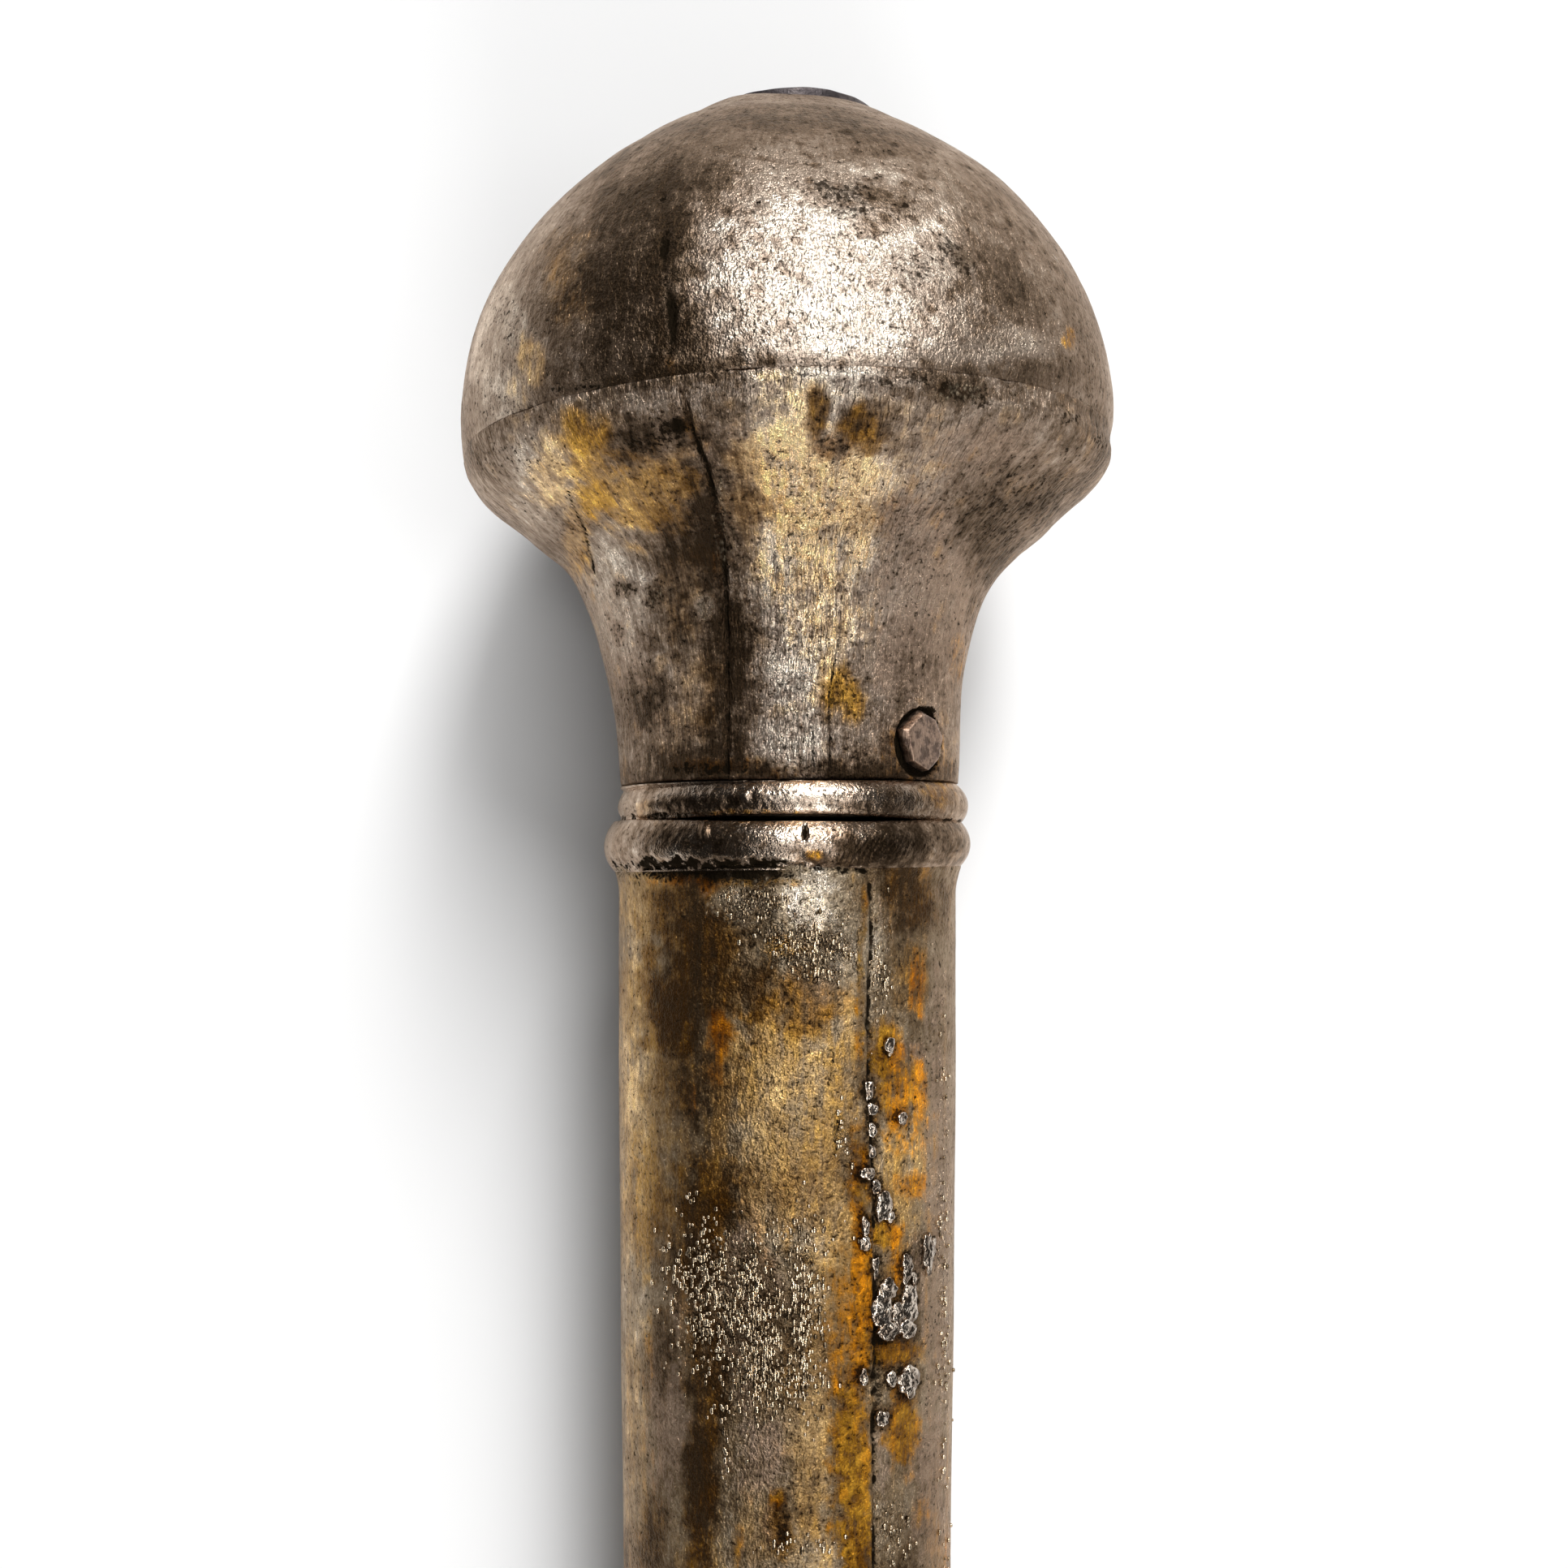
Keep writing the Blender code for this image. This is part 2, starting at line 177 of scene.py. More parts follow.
# Dents, as (height, size, octaves, seed)
DOME_DENTS = {"broad": (0.12, 11.0, 3, 4), "small": (0.014, 2.0, 3, 5), "fine": (0.008, 0.8, 2, 7)}
RIDGE_DENTS = {"on both sides": (0.16, 4.0, 3, 18)}
PLATE_DENTS = {"broad": (0.07, 3.0, 3, 8), "fine": (0.02, 0.9, 2, 9)}
NECK_DENTS = {"broad": (0.09, 12.0, 2, 13), "small": (0.014, 1.8, 3, 14)}
RING_DENTS = {"broad": (0.05, 6.0, 2, 22), "small": (0.035, 2.4, 2, 23)}
COLLAR_DENTS = {"broad": (0.05, 6.0, 2, 32), "small": (0.030, 2.6, 2, 33)}
SHAFT_DENTS = {"broad": (0.06, 14.0, 2, 42), "fine": (0.010, 1.5, 3, 43)}
SHAFT_GRAIN = {"across": (0.010, (1.2, 0.8, 1.2), 3, 44)}
FOOT_RING_DENTS = {"broad": (0.04, 5.0, 2, 52), "fine": (0.010, 0.9, 3, 53)}
CAP_DENTS = {"broad": (0.04, 4.0, 2, 56), "fine": (0.010, 0.9, 3, 57)}


def foot_mount():
    return next(mount for mount in frame["record"]["mounts"] if mount["name"] == "foot_end")


AXIS = -np.array(foot_mount()["axis"], float)
RIGHT = np.array((1.0, 0.0, 0.0))
UP = np.cross(RIGHT, AXIS)
TURN = np.array((RIGHT, AXIS, UP))


def node_points(node, origin):
    """The corners of a CAD node in the sceptre's own frame, from an origin in the world's millimetres."""
    mesh = frame["nodes"][node].data
    flat = np.empty(3 * len(mesh.vertices))
    mesh.vertices.foreach_get("co", flat)
    return (flat.reshape(-1, 3) / MM - origin) @ TURN.T


def joint_origin():
    """The point on the axis half way between the neck's ring and the shaft's collar."""
    foot = np.array(foot_mount()["pos_m"]) / MM
    above = node_points("neck_ring", foot)[:, 1].min()
    below = node_points("shaft_collar", foot)[:, 1].max()
    return foot + AXIS * (above + below) / 2


ORIGIN = joint_origin()


def to_world(points):
    """Own millimetres to the world's metres, with nothing left under the floor."""
    world = (points @ TURN + ORIGIN) * MM
    world[..., 2] = np.maximum(world[..., 2], 0.0)
    return world


def outer_line(node, low, high):
    """A node's outline between two heights, as h and radius, from its corners on the line that faces up."""
    side_margin, end_margin = 0.02, 0.05
    x, h, u = node_points(node, ORIGIN).T
    chosen = (np.abs(x) < side_margin) & (u > 0) & (h > low - end_margin) & (h < high + end_margin)
    widest = {}
    for place, radius in zip(np.round(h[chosen], 2), u[chosen]):
        widest[place] = max(radius, widest.get(place, 0.0))
    places = sorted(widest)
    return np.array(places), np.array([widest[place] for place in places])


def span(node):
    """A node's lowest and highest h and its largest radius."""
    x, h, u = node_points(node, ORIGIN).T
    return h.min(), h.max(), np.hypot(x, u).max()


def lean_slope():
    """How fast the head's ridge rises to the right, from the dome's two outermost corners."""
    x, h, _ = node_points("head_dome", ORIGIN).T
    right, left = x.argmax(), x.argmin()
    return (h[right] - h[left]) / (x[right] - x[left])


# What the frame gives: outlines and heights that the skins follow
RING_LOW, RING_HIGH, RING_CREST = span("neck_ring")
COLLAR_LOW, COLLAR_HIGH, COLLAR_CREST = span("shaft_collar")
FOOT_RING_LOW, FOOT_RING_HIGH, FOOT_RING_CREST = span("foot_ring")
CAP_LOW, CAP_HIGH, CAP_CREST = span("foot_cap")
HEAD_RADIUS = span("head_dome")[2]
CROWN_H = span("crown_plate")[1]
NECK_H, NECK_R = outer_line("head_neck", RING_HIGH + 0.1, CROWN_H)
SHAFT_H, SHAFT_R = outer_line("shaft", FOOT_RING_HIGH, COLLAR_LOW)
RIDGE_H = (NECK_H.max() + outer_line("head_dome", RING_HIGH, CROWN_H)[0].min()) / 2
NECK_FOOT = NECK_H.min()
COVE_TOP = COLLAR_HIGH - COVE_HEIGHT
LEAN = lean_slope()


def unit(value):
    """A value kept from 0 to 1."""
    return np.clip(value, 0.0, 1.0)


def smooth(value, low, high):
    """0 below low, 1 above high and smooth between. High may be the lower of the two."""
    share = unit((value - low) / (high - low))
    return share * share * (3 - 2 * share)


def near(distance, reach, full=0.0):
    """1 where a distance, on either side, is at most full, and 0 from its reach on."""
    return smooth(np.abs(distance), reach, full)


def bell(distance, width):
    """1 at no distance, falling off on both sides."""
    return np.exp(-((distance / width) ** 2))


def curve_through(places, line_places, line_values):
    """A smooth curve through an outline's points, read at some places."""
    slopes = np.gradient(line_values, line_places)
    i = np.clip(np.searchsorted(line_places, places) - 1, 0, len(line_places) - 2)
    step = line_places[i + 1] - line_places[i]
    t = unit((places - line_places[i]) / step)
    start = line_values[i] * (1 + 2 * t) * (1 - t) ** 2 + slopes[i] * step * t * (1 - t) ** 2
    end = line_values[i + 1] * t * t * (3 - 2 * t) - slopes[i + 1] * step * t * t * (1 - t)
    return start + end


def field(points, size, octaves=3, seed=0):
    """Smooth noise of about -1 to 1 at points, with bumps of about a given size, the same each run."""
    places = (points / size + SEED_STEP * seed).reshape(-1, 3).tolist()
    values = [noise.fractal(place, 1.0, 2.0, octaves) for place in places]
    return np.array(values).reshape(points.shape[:-1])


def dents(points, layers):
    """The sum of some noises, each given as (height, size, octaves, seed)."""
    return sum(height * field(points, size, octaves, seed) for height, size, octaves, seed in layers.values())


def ragged(mask, wobble, amount=0.5):
    """A mask whose strength also depends on a noise, kept from 0 to 1."""
    return unit(mask * (1 + amount * wobble))


def photo_place(points):
    """Where own-frame points appear in the photograph, in pixels."""
    depth = CAMERA_HEIGHT - points[..., 2]
    x = UNDER_CAMERA[0] + FOCAL_LENGTH * points[..., 0] / depth
    y = UNDER_CAMERA[1] - FOCAL_LENGTH * (points[..., 1] - CAMERA_H) / depth
    return x, y


def spread_angles(count):
    """Angles round the axis, 0 on top, crowded on the upper side."""
    share = np.arange(count) / count * 2 - 1
    return math.pi * (share * (1 - UPPER_CROWDING) + UPPER_CROWDING * share**3)


def every_column(values, columns):
    """A row's value for each of its columns, unless there is one for each already."""
    return values if values.ndim == 2 else np.repeat(values[:, None], columns, axis=1)


class Skin:
    """A grid of points turned about the axis: a row for each point of its outline, a column for each angle.

    A leaning skin is lifted by the head's skew: not at all at the joint, and fully from the ridge up.
    """

    def __init__(self, h, radius, columns, leaning=False, ring=False):
        self.ring = ring
        self.plain_h = h = every_column(h, columns)
        radius = every_column(radius, columns)
        angles = np.broadcast_to(spread_angles(columns), h.shape)
        self.points = np.stack((radius * np.sin(angles), h, radius * np.cos(angles)), axis=-1)
        if leaning:
            self.points[..., 1] += self.points[..., 0] * LEAN * smooth(h, 0.0, RIDGE_H)
        self.normals = self.find_normals()
        steps = np.hypot(np.diff(h[:, 0], prepend=h[0, 0]), np.diff(radius[:, 0], prepend=radius[0, 0]))
        along = every_column(np.cumsum(steps), columns)
        reach = 0.9 * radius.max()
        self.grain = np.stack((reach * np.sin(angles), along, reach * np.cos(angles)), axis=-1)
        self.marks = Marks(self.points, self.normals)

    def find_normals(self):
        around = np.roll(self.points, -1, axis=1) - np.roll(self.points, 1, axis=1)
        if self.ring:
            down = np.roll(self.points, -1, axis=0) - np.roll(self.points, 1, axis=0)
        else:
            down = np.gradient(self.points, axis=0)
        normals = np.cross(down, around)
        lengths = np.linalg.norm(normals, axis=-1, keepdims=True)
        return normals / np.maximum(lengths, 1e-9)


class Marks:
    """The photograph's marks on a surface. They fade where it turns away, and miss what doesn't show."""

    def __init__(self, points, normals):
        x, y = photo_place(points)
        to_eye = np.array((0.0, CAMERA_H, CAMERA_HEIGHT)) - points
        facing = np.sum(to_eye * normals, axis=-1) / np.linalg.norm(to_eye, axis=-1)
        self.x = np.where(facing > 0, x, FAR_AWAY)
        self.y = np.where(facing > 0, y, FAR_AWAY)
        self.shown = smooth(facing, 0.0, LIMB_FADE)
        self.sway_x = field(points, 4.0, 4, seed=1)
        self.sway_y = field(points, 4.0, 4, seed=2)
        self.fringe = field(points, 1.3, 3, seed=19)

    def blots(self, places, edge=0.45, sway=0.35):
        """Ragged stains, as (x, y, half width, half height, strength). The strongest one counts."""
        total = np.zeros(self.x.shape)
        for x, y, wide, high, strength in places.values():
            off_x = (self.x - x) / wide + self.sway_x * sway
            off_y = (self.y - y) / high + self.sway_y * sway
            away = np.hypot(off_x, off_y) + self.fringe * sway
            total = np.maximum(total, strength * smooth(away, 1 + edge, 1 - edge))
        return total * self.shown

    def raised(self, places, edge, sway=0.35):
        """The same as a relief, with heights for strengths. Where some of them meet, they add up."""
        return sum(self.blots({name: place}, edge, sway) for name, place in places.items())

    def from_path(self, path, sway=0.0):
        """Distance in pixels to a path, which is positive on its right side as the path runs down."""
        x = self.x + self.sway_x * sway
        y = self.y + self.sway_y * sway
        nearest = np.full(x.shape, np.inf)
        side = np.ones(x.shape)
        for (x0, y0), (x1, y1) in zip(path, path[1:]):
            run_x, run_y = x1 - x0, y1 - y0
            share = unit(((x - x0) * run_x + (y - y0) * run_y) / (run_x**2 + run_y**2))
            distance = np.hypot(x - x0 - share * run_x, y - y0 - share * run_y)
            closer = distance < nearest
            nearest = np.where(closer, distance, nearest)
            side = np.where(closer, np.sign(run_y * (x - x0) - run_x * (y - y0)), side)
        return nearest * side

    def lines(self, paths, half_width, sway=0.0):
        """1 on any of the paths, and 0 from half a width away."""
        return np.max([near(self.from_path(path, sway), half_width) for path in paths.values()], axis=0)


# Marks on the dome
DOME_SEAM = {"seam": ((828, 215), (822, 270), (818, 320), (829, 384), (826, 440), (824, 490))}
DOME_DARK = {
    "band along the seam": (826, 350, 42, 150, 0.9),
    "left of the seam": (775, 350, 74, 140, 0.65),
    "above the ridge at the left": (770, 460, 120, 26, 0.4),
    "over the highlight": (1045, 240, 62, 18, 0.45),
    "right of that": (1085, 262, 40, 24, 0.45),
    "scar": (1180, 322, 24, 22, 0.5),
    "beside the scar": (1130, 330, 40, 34, 0.45),
    "low at the right": (1220, 462, 120, 22, 0.45),
    # painted shade in a band just above the ridge, under the highlight
    "above the ridge": (1010, 443, 120, 12, 0.2),
    "top of the seam": (850, 205, 60, 60, 0.5),
    "crown": (960, 140, 150, 26, 0.4),
    "crown's right": (1080, 175, 60, 24, 0.45),
    "right flank": (1250, 330, 60, 110, 0.25),
    "under the scar": (1140, 350, 60, 20, 0.4),
}
DOME_GRIME = {
    "hole in the seam": (829, 384, 8, 24, 0.8),
    "upper hole": (819, 314, 7, 15, 0.6),
    "ridge, left": (720, 478, 60, 5, 0.45),
}
DOME_PITS = {
    "over the highlight": (1040, 236, 46, 12, 0.9),
    "below that": (1050, 258, 34, 12, 0.7),
    "left end": (1012, 230, 14, 10, 1.0),
    "right of that": (1108, 250, 26, 14, 0.6),
    "scar": (1166, 305, 16, 12, 1.0),
    "scar's middle": (1178, 322, 14, 12, 1.0),
    "scar's lower end": (1190, 334, 14, 10, 1.0),
    "beside the scar": (1134, 330, 34, 24, 0.6),
    "seam": (826, 350, 20, 60, 0.7),
    "seam, low": (826, 450, 12, 40, 0.5),
    "left flank": (640, 400, 34, 40, 0.5),
    "edge": (632, 420, 7, 9, 0.9),
    "left low": (625, 500, 60, 30, 0.5),
    "ridge, left": (770, 470, 100, 10, 0.6),
    "right edge": (1340, 470, 30, 60, 0.5),
    "highlight": (1030, 380, 60, 60, 0.2),
}
DOME_BEADS = {
    "pits over the highlight": (1040, 236, 56, 12, 0.4),
    "scar": (1178, 322, 24, 20, 0.5),
    "sparkle": (1240, 428, 66, 18, 0.4),
    "ridge, left": (910, 448, 12, 7, 0.5),
    "right edge": (1300, 320, 14, 30, 0.3),
}
DOME_GOLD = {
    "left middle": (705, 350, 30, 55, 0.5),
    "left low": (654, 448, 16, 34, 0.75),
    "far left": (640, 480, 16, 30, 0.4),
}
DOME_RUST = {"reddish pit": (1318, 415, 8, 15, 0.75), "seam, lower": (826, 450, 10, 30, 0.3)}
# Painted light on the dome: the painted highlight and the glints round it, and painted reflection along the
# left rim
DOME_PAINTED_LIGHT = {
    "highlight": (1015, 350, 132, 110, 1.9),
    "right of it": (1160, 400, 50, 50, 0.6),
    "sparkle": (1240, 425, 60, 24, 0.7),
    "above": (1000, 215, 110, 40, 0.4),
    "left of it": (960, 330, 60, 90, 0.8),
    "left rim": (612, 430, 40, 120, 1.0),
    "left rim, high": (690, 260, 34, 50, 0.5),
}
DOME_WAVES = {"right of the highlight": (1215, 370, 90, 110, 1.0)}
DOME_HOT = {"highlight": (1030, 340, 150, 110, 1.0)}

# Marks on the neck, and where its foot is in the photograph
NECK_FOOT_Y = 965
NECK_SEAM = ((836, 486), (850, 530), (868, 575), (880, 625), (889, 680), (893, 760), (893, 860), (892, 962))
NECK_CRESCENT = ((866, 528), (870, 545), (882, 558), (902, 563))
NECK_CRACK = ((700, 605), (713, 640), (724, 668), (734, 703))
NECK_SCRATCHES = {
    "left scratch": ((993, 880), (1001, 905), (1003, 950)),
    "right scratch": ((1021, 850), (1023, 900), (1024, 955)),
    "bow": ((1036, 770), (1028, 810), (1021, 860)),
}
NECK_GOLD = {
    "under the ridge": (716, 538, 36, 36, 1.3),
    "below that": (736, 606, 28, 44, 1.2),
    "between them": (724, 570, 24, 28, 1.1),
    "left of the seam": (796, 610, 62, 54, 1.0),
    "along the crack": (712, 655, 16, 56, 1.0),
    "left edge": (676, 590, 26, 36, 0.9),
    "centre left": (945, 590, 44, 100, 0.9),
    "centre": (985, 600, 60, 130, 0.9),
    "centre right": (1050, 600, 50, 90, 0.8),
    "right of the centre": (1110, 560, 60, 70, 0.4),
    "left, middle": (845, 720, 30, 60, 0.45),
    "lower centre": (1020, 740, 56, 90, 0.6),
    "spot": (1026, 846, 24, 38, 0.9),
    "spot, right part": (1050, 868, 18, 30, 0.9),
    "spot, left part": (1006, 862, 12, 14, 0.7),
    "left of the seam, low": (860, 850, 28, 50, 0.6),
    "left, low": (835, 900, 30, 30, 0.4),
}
NECK_DEEP = {
    "under the ridge": (720, 535, 28, 32, 1.0),
    "below that": (738, 618, 24, 38, 1.0),
    "left of the seam": (790, 610, 60, 50, 0.6),
    "between them": (724, 575, 26, 30, 0.7),
    "brown patch": (1011, 512, 12, 26, 0.8),
    "brown patch, right": (1064, 526, 24, 26, 0.8),
    "along the crack": (724, 690, 10, 20, 0.7),
    "spot": (1036, 860, 24, 40, 1.0),
    "centre left": (950, 600, 24, 60, 0.3),
}
NECK_DARK = {
    "left of the seam": (784, 540, 36, 26, 0.9),
    "top of the seam": (832, 528, 22, 24, 1.0),
    "seam's sides": (880, 640, 18, 70, 0.6),
    "right of the seam, low": (912, 800, 20, 160, 0.9),
    "right of the seam": (914, 620, 24, 100, 0.9),
    "right of the seam, top": (890, 520, 30, 30, 0.5),
    "left of the seam, low": (842, 690, 34, 80, 0.7),
    "dark spot": (775, 725, 13, 11, 0.9),
    "dark spot, right": (810, 735, 13, 20, 0.8),
    "dark spot, low": (767, 776, 8, 14, 0.9),
    "dark spot, lowest": (806, 790, 16, 20, 0.7),
    "left, low": (790, 865, 26, 44, 0.6),
    "pits under the ridge": (1168, 482, 60, 12, 0.6),
    "right flare": (1270, 600, 70, 50, 0.7),
    "right rim": (1330, 540, 44, 40, 0.55),
    "right corner": (1225, 660, 40, 50, 0.5),
    "above the ring": (1010, 950, 170, 14, 0.6),
    "above the ring at the left": (860, 944, 60, 20, 0.9),
    "rivet's side": (1103, 915, 18, 50, 0.6),
}
NECK_GRIME = {
    "top of the seam": (834, 528, 14, 12, 0.7),
    "above the ring": (875, 948, 50, 8, 0.6),
    "above the rivet": (1137, 876, 14, 5, 0.6),
}
NECK_PITS = {
    "top of the seam": (826, 530, 26, 24, 0.9),
    "dark patch": (786, 545, 36, 12, 0.8),
    "left of it": (790, 520, 50, 20, 0.5),
    "under the ridge": (1176, 484, 34, 14, 1.0),
    "under the ridge, left": (1115, 470, 50, 8, 0.8),
    "under the ridge, right": (1200, 494, 24, 18, 0.8),
    "rim": (1312, 513, 18, 10, 0.9),
    "rim, right": (1346, 538, 16, 14, 0.8),
    "grey patch": (1026, 548, 24, 22, 0.7),
    "dark spot": (775, 725, 14, 12, 0.9),
    "dark spot, right": (808, 735, 15, 20, 0.8),
    "dark spot, low": (767, 776, 9, 14, 0.8),
    "by the seam": (890, 650, 16, 80, 0.7),
    "left of the seam": (868, 740, 14, 18, 0.8),
    "crack": (722, 660, 10, 40, 0.5),
    "left low": (800, 860, 40, 70, 0.5),
    "right corner": (1250, 620, 90, 60, 0.6),
    "centre": (1000, 630, 80, 120, 0.5),
    "centre, low": (980, 800, 60, 80, 0.4),
    "right": (1120, 700, 60, 120, 0.4),
    "lower centre": (1050, 780, 16, 16, 0.6),
    "yellow spot": (1036, 862, 28, 40, 0.7),
    "left edge": (640, 560, 60, 30, 0.5),
    "above the ring": (1040, 945, 160, 14, 0.5),
}
NECK_RUST = {
    "above the ring": (880, 944, 44, 10, 0.5),
    "above the ring, middle": (960, 952, 60, 6, 0.25),
    "left of the seam": (850, 530, 14, 20, 0.4),
    "right edge": (1180, 810, 10, 30, 0.4),
    "round the rivet": (1125, 925, 46, 36, 0.35),
    "seam": (884, 680, 8, 60, 0.3),
}
# Painted light on the neck: a painted highlight down its middle, painted reflections on its flanks and flare,
# and painted glints by the seam
NECK_PAINTED_LIGHT = {
    "light band": (1005, 620, 80, 140, 1.9),
    "lower centre": (985, 830, 50, 110, 1.0),
    "left flank": (655, 590, 50, 60, 0.7),
    "left edge, low": (745, 820, 14, 90, 0.4),
    "left, low": (760, 760, 40, 100, 0.8),
    "right flare": (1200, 560, 80, 50, 0.3),
    "seam's glints": (869, 745, 10, 14, 0.8),
    "right": (1120, 700, 60, 150, 0.35),
    "right, low": (1120, 850, 40, 60, 0.3),
    "far right": (1260, 560, 80, 40, 0.35),
}
NECK_BROWN = {
    "patch": (1009, 512, 14, 28, 0.8),
    "right patch": (1064, 526, 26, 24, 1.0),
    "right patch, upper": (1085, 508, 20, 14, 0.6),
    "grey patch": (1026, 550, 24, 14, 0.6),
    "yellow spot": (1036, 862, 30, 42, 0.3),
}
NECK_MAUVE = {
    "right": (1135, 760, 62, 160, 0.9),
    "left": (760, 800, 40, 90, 0.6),
    "flare": (1200, 560, 70, 50, 0.7),
    "grey patch": (1026, 548, 20, 18, 0.8),
    "by the seam": (868, 560, 16, 30, 0.6),
}
NECK_BEADS = {
    "glints at the seam": (869, 747, 11, 14, 0.8),
    "beside the seam": (888, 640, 10, 70, 0.5),
    "dark spot": (775, 725, 12, 10, 0.5),
    "dark spot, right": (810, 735, 12, 18, 0.5),
    "pits under the ridge": (1180, 488, 34, 16, 0.6),
    "right corner": (1215, 600, 60, 40, 0.3),
    "ridge, left": (770, 492, 60, 8, 0.5),
}
NECK_WRINKLES = {"centre": (1000, 690, 70, 110, 1.0), "left of it": (930, 800, 30, 60, 0.6)}
NECK_LUMPS = {
    "lump above the rivet": (1132, 862, 7, 7, 0.28),
    "second lump": (1139, 851, 6, 5, 0.22),
    "third lump": (1127, 872, 5, 4, 0.18),
    "lump beside the spot": (1045, 862, 6, 12, 0.1),
}

# The rivet: its filed face's corners as (angle in degrees, reach), and its section as (share of that reach,
# height over the neck)
RIVET_CORNERS = ((98, 2.55), (55, 2.5), (12, 2.5), (-38, 2.35), (-80, 2.5), (-135, 2.35), (160, 2.6))
RIVET_SECTION = (
    (0.02, 0.86), (0.25, 0.86), (0.5, 0.86), (0.72, 0.86), (0.86, 0.855), (0.92, 0.84), (0.96, 0.8),
    (0.985, 0.74), (1.0, 0.6), (1.01, 0.35), (1.02, 0.05), (1.0, -0.2), (0.55, -0.22), (0.5, -0.4),
    (0.5, -2.0),
)

# Marks on the rings at the joint, and how far the neck's ring sits to the right and widens downwards
SLIT_MIDDLE = (985, 1007)
RING_SHIFT = 0.55
RING_FLARE = 0.35
RING_LUMPS = {"pale lump": (792, 1001, 11, 12, 0.22), "by it": (806, 990, 8, 6, 0.12)}
RING_ROUGH = {"left of the highlight": (890, 984, 62, 22, 1.0), "right": (1090, 990, 60, 12, 0.5)}
RING_RUST = {"brown spot": (1152, 975, 20, 18, 0.5), "lower edge": (930, 1001, 60, 4, 0.5)}
RING_PALE = {"lump": (792, 998, 12, 14, 0.8)}
# painted highlight where the key light reflects on the ring
RING_HIGHLIGHT = {"hot": (1005, 978, 60, 18, 1.0)}
RING_DARK = {
    "left": (870, 992, 70, 12, 0.6),
    "right lower": (1080, 992, 50, 8, 0.4),
    "right": (1130, 985, 60, 22, 0.25),
}
COLLAR_LUMPS = {"ridge": (868, 1022, 5, 9, 0.2), "rusty bump": (1008, 1054, 14, 6, 0.16)}
COLLAR_DARK = {
    "left": (850, 1030, 60, 16, 0.5),
    "right top": (1125, 1022, 66, 12, 0.7),
    "right": (1118, 1040, 86, 22, 0.9),
    "lower edge": (1110, 1059, 90, 9, 1.0),
}
COLLAR_RUST = {
    "bump": (1008, 1053, 13, 6, 0.8),
    "upper edge": (915, 1012, 14, 3, 0.6),
    "dots": (865, 1009, 8, 3, 0.6),
}
COLLAR_GRIME = {
    "gap under it": (880, 1068, 108, 9, 1.0),
    "hole": (796, 1070, 6, 6, 1.0),
    "pits": (992, 1029, 2.5, 9, 0.9),
}
# painted highlight where the key light reflects on the collar
COLLAR_HIGHLIGHT = {"hot": (1000, 1026, 70, 18, 1.0)}
FILED_RIGHT = {"file marks": (1110, 1035, 95, 20, 1.0)}
FILED_LEFT = {"file marks": (800, 1030, 36, 22, 0.7)}

# Marks on the shaft
SHAFT_SEAM = (
    (1056, 1072), (1067, 1080), (1070, 1110), (1071, 1165), (1067, 1220), (1067, 1335),
    (1070, 1370), (1074, 1510), (1075, 1620), (1073, 1760), (1074, 1932),
)
# Painted light on the shaft: a painted highlight under the collar and down the middle, painted reflection
# along both edges, and lighter metal at the splash, the triangle and beside the seam
SHAFT_PAINTED_LIGHT = {
    "left edge": (785, 1400, 18, 320, 0.65),
    "right edge": (1152, 1500, 18, 380, 0.4),
    "under the collar": (996, 1100, 34, 44, 1.4),
    "splash": (912, 1098, 34, 24, 0.7),
    "triangle": (1005, 1165, 60, 40, 0.45),
    "beside the seam": (1078, 1130, 10, 60, 0.6),
    "centre": (985, 1340, 60, 70, 0.1),
    "right of the seam": (1105, 1350, 34, 110, 0.45),
}
SHAFT_SMOKE = {
    "smoke": (868, 1165, 62, 56, 0.9),
    "smoke, top": (850, 1105, 40, 40, 0.75),
    "smoke, middle": (860, 1215, 66, 44, 0.9),
    "smoke, low left": (832, 1262, 36, 38, 0.9),
    "smoke, right": (922, 1215, 38, 46, 0.85),
    "spot at the left": (800, 1182, 7, 20, 0.8),
    "spot below it": (802, 1228, 8, 20, 0.8),
    "lowest spot": (796, 1284, 8, 10, 0.8),
    "right of it": (985, 1240, 44, 34, 0.5),
    "below it, brown": (860, 1310, 56, 60, 0.4),
    "right side": (1120, 1100, 50, 46, 0.85),
    "right side, low": (1118, 1190, 26, 50, 0.45),
    "under the tongue": (870, 1370, 40, 90, 0.35),
    "brown": (868, 1480, 46, 60, 0.8),
    "by the beads": (862, 1560, 36, 50, 0.6),
    "olive band": (872, 1690, 26, 110, 0.85),
    "olive band, low": (864, 1830, 20, 130, 0.95),
    "left flecks": (800, 1480, 20, 70, 0.45),
    "left of the beads": (815, 1660, 20, 60, 0.5),
    "tongue": (888, 1268, 14, 24, 0.5),
    "round the beads": (930, 1610, 56, 80, 0.35),
    "left, low": (806, 1880, 14, 50, 0.45),
    "bottom flake's side": (962, 1885, 14, 30, 0.8),
}
SHAFT_GOLD = {
    "top left": (795, 1112, 32, 50, 1.0),
    "left band": (782, 1230, 22, 70, 0.9),
    "left band, middle": (790, 1370, 30, 110, 0.8),
    "left band, low": (790, 1500, 30, 70, 0.75),
    "left band, lowest": (785, 1760, 18, 170, 0.4),
    "centre": (960, 1320, 90, 80, 0.8),
    "centre, right": (1020, 1360, 50, 110, 0.75),
    "centre, middle": (970, 1440, 90, 90, 0.75),
    "right of the smoke": (965, 1165, 24, 14, 0.8),
    "centre, low": (1030, 1600, 36, 150, 0.8),
    "centre, lowest": (1000, 1800, 34, 140, 0.75),
    "right": (1115, 1420, 34, 110, 0.75),
    "right, upper": (1128, 1205, 16, 44, 0.6),
    "among the beads": (975, 1705, 20, 20, 0.8),
    "bottom": (930, 1880, 30, 50, 0.5),
}
